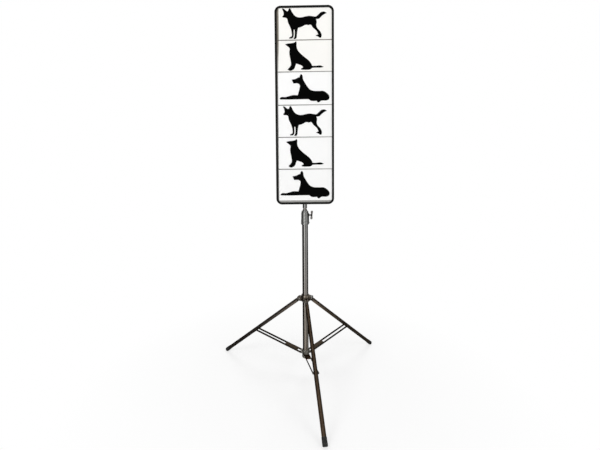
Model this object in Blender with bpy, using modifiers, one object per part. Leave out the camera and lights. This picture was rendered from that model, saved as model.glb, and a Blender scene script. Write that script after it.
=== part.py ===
"""Dog training sign board: six picture panels in a rounded black rim, on a folding three-leg stand.

Metres, +Z up. The origin is on the floor under the middle of the whole thing, and the pictures face -Y.
"""

import math

import bmesh
import bpy
from mathutils import Matrix, Vector

# Clearances: between pieces at rest, round what slides, round pins and screws, round the bush's window
GAP = 0.0003
SLIDE_GAP = 0.0003
PIN_GAP = 0.0003
WINDOW_GAP = 0.0005

# How far a cutter passes the face that it cuts, how deep a joined shape sinks into its piece, and how
# far a thin web stays inside the edges of what it joins
PASS = 0.010
SINK = 0.002
WEB_INSET = 0.0003

# Legs: the stand opens to this angle from the vertical, and is turned a little against the board
LEG_NAMES = ("left", "right", "front")
LEG_AZIMUTHS = (150.0, 30.0, -90.0)
STAND_TURN = 4.7
LEG_ANGLE = math.radians(50.343)
LEG_RADIUS = 0.0095
LEG_WALL = 0.0012
HUB_PIN_HEIGHT = 0.387
HUB_PIN_OFFSET = 0.011
BRACE_ON_LEG = 0.338
TONGUE_THICK = 0.007
TONGUE_RADIUS = 0.0065
TONGUE_LENGTH = 0.016
SHOULDER_LENGTH = 0.006
LEG_PLUG_LENGTH = 0.028

# Feet
FOOT_AXIS_HEIGHT = 0.005
FOOT_WALL = 0.001
FOOT_LENGTH = 0.030
FOOT_BASE = 0.0077

# Pins and rivets
PIN_RADIUS = 0.0025
PIN_HEAD_RADIUS = 0.0045
PIN_HEAD_THICK = 0.002
PIN_HEAD_CROWN = 0.0027
BUSH_RADIUS = 0.004

# Braces: two flat strips, joined by a web over their inner part
BRACE_PIN_HEIGHT = 0.105
BRACE_PIN_OFFSET = 0.004
STRIP_HALF_WIDTH = 0.005
STRIP_THICK = 0.0018
WEB_THICK = 0.0012
WEB_START = 0.020
WEB_END = 0.094

# Column, hub and lower collar
COLUMN_RADIUS = 0.015
COLUMN_WALL = 0.0015
COLUMN_BOTTOM = 0.080
HUB_WALL = 0.0057
HUB_TOP = 0.0245
HUB_BOTTOM = -0.0105
HUB_EDGE = 0.002
EAR_THICK = 0.0041
EAR_RADIUS = 0.0125
EAR_SINK = 0.011
COLLAR_WALL = 0.0032
COLLAR_HEIGHT = 0.042
COLLAR_EDGE = 0.0015
LUG_RADIUS = 0.006
LUG_SINK = 0.0085
END_PLUG_DEPTH = 0.020
END_PLUG_RIM = 0.003

# Hub lock screw
LOCK_SCREW_RADIUS = 0.003
LOCK_RISE = 0.016
LOCK_BOSS_RADIUS = 0.007
LOCK_BOSS_LENGTH = 0.006
LOCK_HEAD_RADIUS = 0.0085
LOCK_HEAD_LENGTH = 0.013
LOCK_HEAD_EDGE = 0.002
LOCK_NECK_RADIUS = 0.006
LOCK_NECK_LENGTH = 0.004

# Riser clamp at the column's top
FOLD_ROOM = 0.028094
CLAMP_SKIRT = 0.027
CLAMP_HEIGHT = 0.071
CLAMP_WALL = 0.0034
CLAMP_TOP_WALL = 0.0025
CLAMP_NECK_HEIGHT = 0.009
CLAMP_NECK_SLOPE = 0.004
CLAMP_EDGE = 0.002
CLAMP_LIP = 0.002
BUSH_SEAT = 0.0002
T_SCREW_RADIUS = 0.0035
T_SCREW_HEIGHT = 0.048
T_BAR_OFFSET = 0.011
T_BAR_LENGTH = 0.0447
T_BAR_RADIUS = 0.0055
T_BOSS_RADIUS = 0.0065
T_BOSS_LENGTH = 0.0043

# Riser and spigot
RISER_RADIUS = 0.011
RISER_WALL = 0.0012
RISER_LENGTH = 0.728
RISER_SHOW = 0.004
RISER_PLUG_DEPTH = 0.020
RISER_PLUG_RIM = 0.008
SPIGOT_RADIUS = 0.008
SPIGOT_FLANGE = 0.003
SPIGOT_PLUG_DEPTH = 0.030
SPIGOT_NECK = 0.005
SPIGOT_LENGTH = 0.0667
TURNED_EDGE = 0.001

# Socket bracket on the board's back
SOCKET_BORE_GAP = 0.0003
SOCKET_LENGTH = 0.100
SOCKET_SHOW = 0.023
PLATE_WIDTH = 0.060
PLATE_HEIGHT = 0.110
PLATE_THICK = 0.0035
PLATE_START = 0.010
PLATE_SINK = 0.001
PLATE_CORNER = 0.006
PLATE_SCREW_RADIUS = 0.00175
PLATE_SCREW_HEAD = 0.0036
PLATE_SCREW_HEAD_THICK = 0.0018
PLATE_SCREW_HEAD_EDGE = 0.0012
PLATE_SCREW_CROWN = 0.0025
PLATE_SCREW_LENGTH = 0.009
PLATE_SCREW_INSET = 0.008
SOCKET_SCREW_RADIUS = 0.003
SOCKET_SCREW_HEIGHT = 0.040
SOCKET_SCREW_HEAD_RADIUS = 0.007
SOCKET_SCREW_HEAD_LENGTH = 0.008
SOCKET_SCREW_OFFSET = 0.005

# Board: the edge rises say how far each cell's edge stands above an even spacing, from the sill up
BOARD_WIDTH = 0.2866
BOARD_HEIGHT = 0.962
BOARD_CORNER = 0.029
RIM_WALL = 0.002
RIM_LIP = 0.0085
RIM_LIP_THICK = 0.0015
PANEL_THICK = 0.003
BACKING_THICK = 0.0105
CELLS = 6
RAIL_SHOW = 0.0055
SILL_SHOW = 0.011
DIVIDER_FACE = 0.0035
DIVIDER_FACE_THICK = 0.0008
DIVIDER_WEB = 0.0016
EDGE_RISES = (0.0, 0.0, 0.0015, 0.0025, 0.0065, 0.002, 0.0)

# Dog figures: outlines drawn on squared paper about the middle of a cell
FIGURE_SQUARE = 0.00494
FIGURE_THICK = 0.0008
CORNER = "corner"
STANDING = (
    (-21.5, 14.4, CORNER),
    (-20.3, 14.6),
    (-18.2, 13.0),
    (-16.9, 12.2),
    (-15.8, 12.2),
    (-15.0, 14.1),
    (-14.2, 14.8),
    (-13.4, 14.3),
    (-11.9, 11.3),
    (-9.3, 7.9),
    (-6.4, 6.3),
    (-3.0, 6.0),
    (2.2, 7.0),
    (5.0, 7.3),
    (8.8, 6.8),
    (11.4, 6.6),
    (14.3, 8.8),
    (16.3, 10.5),
    (18.2, 11.1),
    (19.8, 11.1),
    (22.0, 9.8, CORNER),
    (19.2, 8.5),
    (17.3, 7.2),
    (15.5, 5.4),
    (13.9, 4.4),
    (11.6, 4.3, CORNER),
    (12.2, 1.4),
    (11.8, -1.4),
    (12.5, -3.8),
    (15.6, -7.7),
    (16.8, -10.2),
    (16.9, -12.2),
    (16.4, -13.6, CORNER),
    (15.3, -13.7),
    (13.6, -12.5),
    (11.3, -11.6, CORNER),
    (12.4, -10.9),
    (13.7, -10.4, CORNER),
    (12.4, -7.5),
    (8.5, -3.7),
    (6.3, -1.0),
    (4.9, -1.2),
    (4.0, -1.5),
    (2.2, -1.0),
    (-3.0, -3.1),
    (-6.0, -3.8, CORNER),
    (-6.7, -7.0),
    (-7.2, -10.6),
    (-7.6, -13.3),
    (-8.8, -14.5),
    (-10.6, -14.3, CORNER),
    (-9.6, -12.6),
    (-9.2, -6.4, CORNER),
    (-9.9, -5.4),
    (-10.4, -6.4, CORNER),
    (-10.5, -11.8),
    (-11.4, -13.6),
    (-14.8, -14.0, CORNER),
    (-14.3, -12.9),
    (-12.4, -12.0),
    (-12.2, -8.5),
    (-13.0, -4.7),
    (-15.7, 1.4),
    (-17.0, 5.5),
    (-18.6, 6.1),
    (-20.8, 6.1, CORNER),
    (-21.1, 7.1),
    (-20.1, 8.4),
    (-20.1, 11.2),
)
SITTING = (
    (-18.7, 11.3, CORNER),
    (-16.6, 11.9),
    (-12.9, 12.3),
    (-9.8, 12.9),
    (-8.0, 14.2, CORNER),
    (-7.6, 12.5),
    (-7.6, 9.0),
    (-6.4, 5.5),
    (-3.5, 2.1),
    (0.4, -1.3),
    (4.2, -4.4),
    (6.5, -7.3),
    (7.6, -9.8, CORNER),
    (11.4, -9.8),
    (15.4, -9.5),
    (19.0, -10.8, CORNER),
    (16.4, -11.5),
    (11.4, -11.5),
    (7.6, -11.7, CORNER),
    (5.9, -13.0),
    (1.4, -13.5),
    (-3.1, -13.2, CORNER),
    (-3.1, -12.1),
    (-1.4, -11.1),
    (-2.2, -9.7),
    (-5.0, -8.3),
    (-8.0, -7.3, CORNER),
    (-8.8, -9.1),
    (-10.0, -12.1),
    (-11.8, -13.6),
    (-14.2, -14.2),
    (-16.6, -12.9, CORNER),
    (-14.6, -10.9),
    (-13.3, -8.9),
    (-13.4, -4.5),
    (-14.2, -0.5),
    (-14.7, 3.9),
    (-14.3, 7.1),
    (-15.0, 8.3),
    (-16.8, 9.7),
)
LYING = (
    (-24.7, -9.5, CORNER),
    (-23.3, -8.4),
    (-19.2, -8.3),
    (-15.7, -7.5),
    (-11.7, -6.5),
    (-6.7, -6.7, CORNER),
    (-5.7, -3.1),
    (-4.8, 0.5),
    (-4.7, 3.3),
    (-6.1, 4.7),
    (-10.9, 4.9, CORNER),
    (-12.6, 8.6, CORNER),
    (-8.7, 9.3),
    (-6.3, 10.5),
    (-4.7, 10.9, CORNER),
    (-4.4, 12.5),
    (-3.3, 14.1, CORNER),
    (-2.1, 12.7),
    (-1.5, 9.1),
    (0.5, 5.3),
    (2.9, 1.5),
    (5.3, -1.1),
    (8.3, -2.4),
    (14.3, -2.8),
    (18.8, -2.9),
    (21.3, -4.3),
    (23.9, -6.9),
    (24.5, -9.1),
    (23.7, -11.1),
    (21.8, -12.0),
    (16.3, -12.3),
    (14.1, -13.7),
    (12.7, -13.5),
    (12.1, -12.3, CORNER),
    (6.3, -12.1),
    (4.1, -10.5, CORNER),
    (-22.0, -10.5),
    (-24.4, -10.2),
)
FIGURES = (LYING, SITTING, STANDING)
FIGURE_NAMES = ("lying", "sitting", "standing")

# Facets, and the angle from which an edge is shaded sharp
ROUND = 24
SMALL_ROUND = 16
CORNER_STEPS = 6
PLATE_STEPS = 4
FIGURE_STEPS = 3
SHARP_ANGLE = math.radians(35)

# What goes round the column and the riser, and what sits on that
HUB_RADIUS = COLUMN_RADIUS + SLIDE_GAP + HUB_WALL
HUB_PIN_REACH = HUB_RADIUS + HUB_PIN_OFFSET
LOCK_BOSS_REACH = HUB_RADIUS + LOCK_BOSS_LENGTH
COLLAR_RADIUS = COLUMN_RADIUS + GAP + COLLAR_WALL
BRACE_PIN_REACH = COLLAR_RADIUS + BRACE_PIN_OFFSET
CLAMP_RADIUS = COLUMN_RADIUS + GAP + CLAMP_WALL
GUIDE_BUSH_RADIUS = COLUMN_RADIUS - COLUMN_WALL + BUSH_SEAT
CLAMP_TOP_RADIUS = GUIDE_BUSH_RADIUS + GAP + CLAMP_TOP_WALL
T_BOSS_REACH = CLAMP_RADIUS + T_BOSS_LENGTH
T_BAR_REACH = T_BOSS_REACH + T_BAR_OFFSET
SOCKET_SCREW_REACH = RISER_RADIUS + SOCKET_SCREW_OFFSET

# Heights and reaches that follow from the sizes above
LEG_LENGTH = (HUB_PIN_HEIGHT - FOOT_AXIS_HEIGHT) / math.cos(LEG_ANGLE)
JOINT_REACH = HUB_PIN_REACH + BRACE_ON_LEG * math.sin(LEG_ANGLE)
JOINT_HEIGHT = HUB_PIN_HEIGHT - BRACE_ON_LEG * math.cos(LEG_ANGLE)
BRACE_LENGTH = math.hypot(JOINT_REACH - BRACE_PIN_REACH, JOINT_HEIGHT - BRACE_PIN_HEIGHT)
BRACE_ANGLE = math.atan2(JOINT_REACH - BRACE_PIN_REACH, JOINT_HEIGHT - BRACE_PIN_HEIGHT)
FOLDED_RISE = math.sqrt(BRACE_LENGTH**2 - (HUB_PIN_REACH - BRACE_PIN_REACH) ** 2)
FOLDED_HUB = BRACE_PIN_HEIGHT + FOLDED_RISE + BRACE_ON_LEG
FOOT_RADIUS = LEG_RADIUS + GAP + FOOT_WALL
STRIP_INNER = FOOT_RADIUS + 2 * GAP
STRIP_OUTER = STRIP_INNER + STRIP_THICK
COLUMN_BORE = COLUMN_RADIUS - COLUMN_WALL
CLAMP_BOTTOM = FOLDED_HUB + HUB_TOP + FOLD_ROOM
COLUMN_TOP = CLAMP_BOTTOM + CLAMP_SKIRT
CLAMP_TOP = CLAMP_BOTTOM + CLAMP_HEIGHT
RISER_TOP = CLAMP_TOP + RISER_SHOW
RISER_BOTTOM = RISER_TOP - RISER_LENGTH
SPIGOT_BASE = RISER_TOP + GAP + SPIGOT_FLANGE
SOCKET_BOTTOM = SPIGOT_BASE + SPIGOT_NECK
SOCKET_BORE_TOP = SPIGOT_BASE + SPIGOT_LENGTH + GAP
BOARD_BOTTOM = SOCKET_BOTTOM + SOCKET_SHOW
BOARD_TOP = BOARD_BOTTOM + BOARD_HEIGHT

# The column's place: the three feet bound the whole thing, and their middle is over the origin
FOOT_REACH = HUB_PIN_REACH + LEG_LENGTH * math.sin(LEG_ANGLE)
FOOT_TURNS = [math.radians(azimuth + STAND_TURN) for azimuth in LEG_AZIMUTHS]
FEET_X = [FOOT_REACH * math.cos(turn) for turn in FOOT_TURNS]
FEET_Y = [FOOT_REACH * math.sin(turn) for turn in FOOT_TURNS]
COLUMN_X = -(min(FEET_X) + max(FEET_X)) / 2
COLUMN_Y = -(min(FEET_Y) + max(FEET_Y)) / 2

# The board's layers, from its back towards the pictures
PLATE_BACK = -(RISER_RADIUS - PLATE_SINK)
PLATE_FRONT = PLATE_BACK - PLATE_THICK
BOARD_BACK = PLATE_FRONT - GAP
BACKING_FRONT = BOARD_BACK - BACKING_THICK
PANEL_BACK = BACKING_FRONT - GAP
PANEL_FRONT = PANEL_BACK - PANEL_THICK
LIP_BACK = PANEL_FRONT - GAP
BOARD_FRONT = LIP_BACK - RIM_LIP_THICK

# The board's openings, measured from the column's axis
POCKET_INSET = RIM_WALL + GAP
RAIL_EDGE = -BOARD_WIDTH / 2 + RIM_LIP + RAIL_SHOW
SILL_EDGE = BOARD_BOTTOM + RIM_LIP + SILL_SHOW
WINDOW_RIGHT = BOARD_WIDTH / 2 - RIM_LIP
WINDOW_TOP = BOARD_TOP - RIM_LIP
CELL_PITCH = (WINDOW_TOP - SILL_EDGE) / CELLS


def clear_scene():
    for thing in list(bpy.data.objects):
        bpy.data.objects.remove(thing, do_unlink=True)


def new_collection(name):
    collection = bpy.data.collections.new(name)
    bpy.context.scene.collection.children.link(collection)
    return collection


def finish_of(name, colour, roughness, metallic=0.0):
    """A plain Principled material."""
    material = bpy.data.materials.new(name)
    material.use_nodes = True
    shader = material.node_tree.nodes["Principled BSDF"]
    shader.inputs["Base Color"].default_value = (*colour, 1.0)
    shader.inputs["Roughness"].default_value = roughness
    shader.inputs["Metallic"].default_value = metallic
    return material


def pivot(name, location, turn=0.0, tilt=0.0, parent=None):
    """An empty on a joint's axis. It is turned about Z, then tilted about its own Y."""
    empty = bpy.data.objects.new(name, None)
    empty.empty_display_size = 0.02
    empty.parent = parent
    empty.location = location
    empty.rotation_euler = (Matrix.Rotation(turn, 3, "Z") @ Matrix.Rotation(tilt, 3, "Y")).to_euler()
    PARTS.objects.link(empty)
    return empty


def place(thing, parent=None, location=(0, 0, 0), rotation=(0, 0, 0)):
    thing.parent = parent
    thing.location = location
    thing.rotation_euler = rotation
    return thing


def as_part(thing, material):
    thing.data.materials.clear()
    thing.data.materials.append(material)
    PARTS.objects.link(thing)
    return thing


def as_tool(thing):
    """A helper solid for a Boolean: it shows as a wire and isn't rendered."""
    thing.hide_render = True
    thing.display_type = "WIRE"
    TOOLS.objects.link(thing)
    return thing


def boolean(target, other, operation):
    modifier = target.modifiers.new(other.name, "BOOLEAN")
    modifier.operation = operation
    modifier.solver = "EXACT"
    modifier.object = other
    return target


def cut(target, other):
    return boolean(target, as_tool(other), "DIFFERENCE")


def join(target, other):
    return boolean(target, as_tool(other), "UNION")


def turned(name, profile, steps=ROUND, closed=False):
    """A turned solid about Z. The profile's (radius, z) points run down its outer side."""
    mesh = bpy.data.meshes.new(name)
    shape = bmesh.new()
    points = [shape.verts.new((radius, 0, z)) for radius, z in profile]
    for first, second in zip(points, points[1:]):
        shape.edges.new((first, second))
    if closed:
        shape.edges.new((points[-1], points[0]))
    shape.to_mesh(mesh)
    shape.free()
    thing = bpy.data.objects.new(name, mesh)
    screw = thing.modifiers.new("Turn", "SCREW")
    screw.steps = steps
    screw.render_steps = steps
    screw.use_merge_vertices = True
    screw.merge_threshold = 0.00001
    screw.use_smooth_shade = True
    return thing


def tube(name, radius, bore, bottom, top, steps=ROUND):
    profile = ((radius, top), (radius, bottom), (bore, bottom), (bore, top))
    return turned(name, profile, steps, closed=True)


def bar(name, radius, bottom, top, steps=ROUND):
    return turned(name, ((0, top), (radius, top), (radius, bottom), (0, bottom)), steps)


def block(name, low, high):
    """A box between two corners."""
    mesh = bpy.data.meshes.new(name)
    shape = bmesh.new()
    bmesh.ops.create_cube(shape, size=1.0)
    low = Vector(low)
    high = Vector(high)
    bmesh.ops.scale(shape, vec=high - low, verts=shape.verts)
    bmesh.ops.translate(shape, vec=(low + high) / 2, verts=shape.verts)
    shape.to_mesh(mesh)
    shape.free()
    return bpy.data.objects.new(name, mesh)


def arc(centre, radius, start, end, steps):
    """Points on an arc, from the start angle to the end angle, in degrees."""
    angles = [math.radians(start + (end - start) * i / steps) for i in range(steps + 1)]
    return [(centre[0] + radius * math.cos(a), centre[1] + radius * math.sin(a)) for a in angles]


def circle(centre, radius, steps=SMALL_ROUND):
    return arc(centre, radius, 0, 360, steps)[:-1]


def rounded_rectangle(low, high, radius, steps=CORNER_STEPS):
    (left, bottom), (right, top) = low, high
    points = arc((right - radius, top - radius), radius, 0, 90, steps)
    points += arc((left + radius, top - radius), radius, 90, 180, steps)
    points += arc((left + radius, bottom + radius), radius, 180, 270, steps)
    points += arc((right - radius, bottom + radius), radius, 270, 360, steps)
    return points


def sheet(name, outlines, low, high):
    """A flat solid from closed outlines in XY, the later ones as holes, between two heights."""
    curve = bpy.data.curves.new(name, "CURVE")
    curve.dimensions = "2D"
    curve.fill_mode = "BOTH"
    curve.extrude = (high - low) / 2
    for outline in outlines:
        spline = curve.splines.new("POLY")
        spline.points.add(len(outline) - 1)
        for point, (x, y) in zip(spline.points, outline):
            point.co = (x, y, 0, 1)
        spline.use_cyclic_u = True
    return solid_from_curve(name, curve, (low + high) / 2)


def solid_from_curve(name, curve, height):
    """The curve as a welded mesh, lifted to the height of its middle."""
    source = bpy.data.objects.new(name + "_outline", curve)
    bpy.context.scene.collection.objects.link(source)
    graph = bpy.context.evaluated_depsgraph_get()
    mesh = bpy.data.meshes.new_from_object(source.evaluated_get(graph))
    mesh.name = name
    shape = bmesh.new()
    shape.from_mesh(mesh)
    bmesh.ops.remove_doubles(shape, verts=shape.verts, dist=0.000001)
    bmesh.ops.dissolve_limit(shape, angle_limit=0.001, verts=shape.verts, edges=shape.edges)
    bmesh.ops.translate(shape, vec=(0, 0, height), verts=shape.verts)
    bmesh.ops.recalc_face_normals(shape, faces=shape.faces)
    shape.to_mesh(mesh)
    shape.free()
    bpy.data.objects.remove(source, do_unlink=True)
    return bpy.data.objects.new(name, mesh)


def upright(thing):
    """Stands a sheet drawn in XY up in XZ. Its heights then run along -Y."""
    thing.data.transform(Matrix.Rotation(math.pi / 2, 4, "X"))
    return thing


def lying_bar(name, radius, start, end, axis="X", steps=SMALL_ROUND):
    """A round bar along X or Y, as a mesh of its own."""
    mesh = bpy.data.meshes.new(name)
    shape = bmesh.new()
    bmesh.ops.create_cone(
        shape, cap_ends=True, segments=steps, radius1=radius, radius2=radius, depth=end - start
    )
    bmesh.ops.translate(shape, vec=(0, 0, (start + end) / 2), verts=shape.verts)
    angle, about = (math.pi / 2, "Y") if axis == "X" else (-math.pi / 2, "X")
    bmesh.ops.rotate(shape, matrix=Matrix.Rotation(angle, 3, about), verts=shape.verts)
    shape.to_mesh(mesh)
    shape.free()
    return bpy.data.objects.new(name, mesh)


def keep_edges(thing):
    """Splits the shading at a round piece's edges, after all its other modifiers."""
    split = thing.modifiers.new("Edges", "EDGE_SPLIT")
    split.split_angle = SHARP_ANGLE


def make_column():
    column = tube("column_tube", COLUMN_RADIUS, COLUMN_BORE, COLUMN_BOTTOM, COLUMN_TOP)
    place(as_part(column, CHROME), COLUMN)
    plug_radius = COLUMN_BORE - GAP
    plug_top = COLUMN_BOTTOM + END_PLUG_DEPTH
    rim_top = COLUMN_BOTTOM - GAP
    profile = (
        (0, plug_top),
        (plug_radius, plug_top),
        (plug_radius, rim_top),
        (COLUMN_RADIUS, rim_top),
        (COLUMN_RADIUS, rim_top - END_PLUG_RIM),
        (0, rim_top - END_PLUG_RIM),
    )
    place(as_part(turned("column_end_plug", profile), WHITE_PLASTIC), COLUMN)


def lug_outline(reach, start, radius, steps=CORNER_STEPS):
    """A lug seen from its side, from its root to a round end about its pin."""
    return arc((reach, 0), radius, -90, 90, steps) + [(start, radius), (start, -radius)]


def pin(name, half_grip, parent):
    """A headed pin along Y. Its heads sit outside what it grips."""
    head_in = half_grip + GAP
    head_out = head_in + PIN_HEAD_THICK
    profile = (
        (0, head_out),
        (PIN_HEAD_CROWN, head_out),
        (PIN_HEAD_RADIUS, head_in + PIN_HEAD_THICK / 2),
        (PIN_HEAD_RADIUS, head_in),
        (PIN_RADIUS, head_in),
        (PIN_RADIUS, -head_in),
        (PIN_HEAD_RADIUS, -head_in),
        (PIN_HEAD_RADIUS, -head_in - PIN_HEAD_THICK / 2),
        (PIN_HEAD_CROWN, -head_out),
        (0, -head_out),
    )
    return place(as_part(turned(name, profile, SMALL_ROUND), STEEL), parent, rotation=(math.pi / 2, 0, 0))


def make_lower_collar():
    """The collar riveted to the column's foot, with a wide lug for each brace."""
    bottom = COLUMN_BOTTOM
    top = bottom + COLLAR_HEIGHT
    profile = (
        (0, top),
        (COLLAR_RADIUS - COLLAR_EDGE, top),
        (COLLAR_RADIUS, top - COLLAR_EDGE),
        (COLLAR_RADIUS, bottom),
        (0, bottom),
    )
    collar = place(as_part(turned("lower_collar", profile), CAST), STAND)
    for name, turn in LEG_TURNS.items():
        outline = lug_outline(BRACE_PIN_REACH, COLLAR_RADIUS - LUG_SINK, LUG_RADIUS)
        half = STRIP_INNER - GAP
        lug = upright(sheet("lug_" + name, [outline], -half, half))
        join(collar, place(lug, STAND, (0, 0, BRACE_PIN_HEIGHT), (0, 0, turn)))
    cut(collar, place(bar("collar_bore", COLUMN_RADIUS + GAP, bottom - PASS, top + PASS), STAND))
    for name, turn in LEG_TURNS.items():
        hole = cross_hole("lug_hole_" + name, PIN_RADIUS + PIN_GAP, STRIP_INNER)
        spot = Matrix.Rotation(turn, 3, "Z") @ Vector((BRACE_PIN_REACH, 0, BRACE_PIN_HEIGHT))
        cut(collar, place(hole, STAND, spot, (0, 0, turn)))


def cross_hole(name, radius, half_grip):
    """A cutter along Y that passes right through what a pin or bush grips."""
    return lying_bar(name, radius, -half_grip - PASS, half_grip + PASS, "Y")


def make_hub():
    """The collar that slides on the column, with two ears for each leg and a boss for its lock screw."""
    profile = (
        (0, HUB_TOP),
        (HUB_RADIUS - HUB_EDGE, HUB_TOP),
        (HUB_RADIUS, HUB_TOP - HUB_EDGE),
        (HUB_RADIUS, HUB_BOTTOM + HUB_EDGE),
        (HUB_RADIUS - HUB_EDGE, HUB_BOTTOM),
        (0, HUB_BOTTOM),
    )
    hub = place(as_part(turned("leg_hub", profile), CAST), HUB_PIVOT)
    ear_in = TONGUE_THICK / 2 + GAP
    ear_out = ear_in + EAR_THICK
    root = HUB_RADIUS - EAR_SINK
    outline = lug_outline(HUB_PIN_REACH, root, EAR_RADIUS)
    for name, turn in LEG_TURNS.items():
        for side, low in (("a", ear_in), ("b", -ear_out)):
            ear = upright(sheet("ear_" + name + side, [outline], low, low + EAR_THICK))
            join(hub, place(ear, HUB_PIVOT, rotation=(0, 0, turn)))
    boss = lying_bar("lock_boss", LOCK_BOSS_RADIUS, root, LOCK_BOSS_REACH)
    join(hub, place(boss, HUB_PIVOT, location=(0, 0, LOCK_RISE), rotation=(0, 0, LOCK_TURN)))
    thread = lying_bar("lock_hole", LOCK_SCREW_RADIUS + PIN_GAP, root, LOCK_BOSS_REACH + PASS)
    cut(hub, place(thread, HUB_PIVOT, location=(0, 0, LOCK_RISE), rotation=(0, 0, LOCK_TURN)))
    for name, turn in LEG_TURNS.items():
        hole = cross_hole("ear_hole_" + name, PIN_RADIUS + PIN_GAP, ear_out)
        spot = Matrix.Rotation(turn, 3, "Z") @ Vector((HUB_PIN_REACH, 0, 0))
        cut(hub, place(hole, HUB_PIVOT, location=spot, rotation=(0, 0, turn)))
    lowest = min(HUB_BOTTOM, -EAR_RADIUS)
    cut(hub, place(bar("hub_bore", COLUMN_RADIUS + SLIDE_GAP, lowest - PASS, HUB_TOP + PASS), HUB_PIVOT))


def make_lock_screw():
    """The hub's lock screw: its tip stops just short of the column. Made upright, then laid along X."""
    tip = COLUMN_RADIUS + GAP
    seat = LOCK_BOSS_REACH + GAP
    end = seat + LOCK_HEAD_LENGTH
    profile = (
        (0, end),
        (LOCK_HEAD_RADIUS - LOCK_HEAD_EDGE, end),
        (LOCK_HEAD_RADIUS, end - LOCK_HEAD_EDGE),
        (LOCK_HEAD_RADIUS, seat + LOCK_NECK_LENGTH),
        (LOCK_NECK_RADIUS, seat),
        (LOCK_SCREW_RADIUS, seat),
        (LOCK_SCREW_RADIUS, tip),
        (0, tip),
    )
    screw = as_part(turned("hub_lock_knob", profile, SMALL_ROUND), STEEL)
    place(screw, pivot("hub_lock_pivot", (0, 0, LOCK_RISE), turn=LOCK_TURN, tilt=math.pi / 2, parent=HUB_PIVOT))


def make_leg(name, turn):
    """One leg, drawn hanging down from its pin and then swung out: end fitting, tube, bush and foot."""
    spot = Matrix.Rotation(turn, 3, "Z") @ Vector((HUB_PIN_REACH, 0, 0))
    hinge = pivot("leg_pivot_" + name, spot, turn, -LEG_ANGLE, HUB_PIVOT)
    shoulder = -TONGUE_LENGTH
    tube_start = shoulder - SHOULDER_LENGTH
    plug_radius = LEG_RADIUS - LEG_WALL - GAP
    profile = (
        (0, shoulder),
        (LEG_RADIUS, shoulder),
        (LEG_RADIUS, tube_start),
        (plug_radius, tube_start),
        (plug_radius, tube_start - LEG_PLUG_LENGTH),
        (0, tube_start - LEG_PLUG_LENGTH),
    )
    fitting = place(as_part(turned("leg_fitting_" + name, profile, SMALL_ROUND), CAST), hinge)
    outline = arc((0, 0), TONGUE_RADIUS, 0, 180, CORNER_STEPS)
    outline += [(-TONGUE_RADIUS, shoulder - SINK), (TONGUE_RADIUS, shoulder - SINK)]
    tongue = upright(sheet("tongue_" + name, [outline], -TONGUE_THICK / 2, TONGUE_THICK / 2))
    join(fitting, place(tongue, hinge))
    pin_hole = cross_hole("tongue_hole_" + name, PIN_RADIUS + PIN_GAP, TONGUE_THICK / 2)
    cut(fitting, place(pin_hole, hinge))

    tube_end = -(LEG_LENGTH - FOOT_BASE - GAP)
    leg = tube("leg_tube_" + name, LEG_RADIUS, LEG_RADIUS - LEG_WALL, tube_end, tube_start - GAP)
    place(as_part(leg, BRONZE), hinge)
    bush_hole = cross_hole("bush_hole_" + name, BUSH_RADIUS + GAP, LEG_RADIUS)
    cut(leg, place(bush_hole, hinge, location=(0, 0, -BRACE_ON_LEG)))
    half = STRIP_INNER - GAP
    bush = as_part(lying_bar("leg_bush_" + name, BUSH_RADIUS, -half, half, "Y"), STEEL)
    place(bush, hinge, location=(0, 0, -BRACE_ON_LEG))

    foot_top = -(LEG_LENGTH - FOOT_LENGTH)
    floor_of_cup = -(LEG_LENGTH - FOOT_BASE)
    cup = LEG_RADIUS + GAP
    profile = (
        (0, floor_of_cup),
        (cup, floor_of_cup),
        (cup, foot_top),
        (FOOT_RADIUS, foot_top),
        (FOOT_RADIUS, -LEG_LENGTH),
        (0, -LEG_LENGTH),
    )
    foot = place(as_part(turned("foot_" + name, profile), RUBBER), hinge)
    wide = FOOT_REACH * 2
    cut(foot, block("floor_cut_" + name, (-wide, -wide, -FOOT_LENGTH), (wide, wide, 0)))

    pin("hub_pin_" + name, ear_half_grip(), pivot("hub_pin_seat_" + name, spot, turn, parent=HUB_PIVOT))


def ear_half_grip():
    return TONGUE_THICK / 2 + GAP + EAR_THICK


def make_brace(name, turn):
    """One brace, drawn standing up from its inner pin and then swung out."""
    spot = Matrix.Rotation(turn, 3, "Z") @ Vector((BRACE_PIN_REACH, 0, BRACE_PIN_HEIGHT))
    hinge = pivot("brace_pivot_" + name, spot, turn, BRACE_ANGLE, STAND)
    outline = arc((0, BRACE_LENGTH), STRIP_HALF_WIDTH, 0, 180, CORNER_STEPS)
    outline += arc((0, 0), STRIP_HALF_WIDTH, 180, 360, CORNER_STEPS)
    hole = circle((0, 0), PIN_RADIUS + PIN_GAP)
    strip = upright(sheet("brace_" + name, [outline, hole], STRIP_INNER, STRIP_OUTER))
    place(as_part(strip, BRONZE), hinge)
    other = upright(sheet("strip_" + name, [outline, hole], -STRIP_OUTER, -STRIP_INNER))
    join(strip, place(other, hinge))
    web_side = STRIP_INNER + STRIP_THICK / 2
    web_edge = -STRIP_HALF_WIDTH + WEB_INSET
    low = (web_edge, -web_side, WEB_START)
    high = (web_edge + WEB_THICK, web_side, WEB_END)
    join(strip, place(block("web_" + name, low, high), hinge))
    for side, start, end in (
        ("a", STRIP_OUTER - STRIP_THICK / 2, STRIP_OUTER + PIN_HEAD_THICK),
        ("b", -STRIP_OUTER - PIN_HEAD_THICK, -STRIP_OUTER + STRIP_THICK / 2),
    ):
        head = lying_bar("rivet_" + name + side, PIN_HEAD_RADIUS, start, end, "Y")
        join(strip, place(head, hinge, location=(0, 0, BRACE_LENGTH)))
    pin("brace_pin_" + name, STRIP_OUTER, pivot("brace_pin_seat_" + name, spot, turn, parent=STAND))


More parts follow.
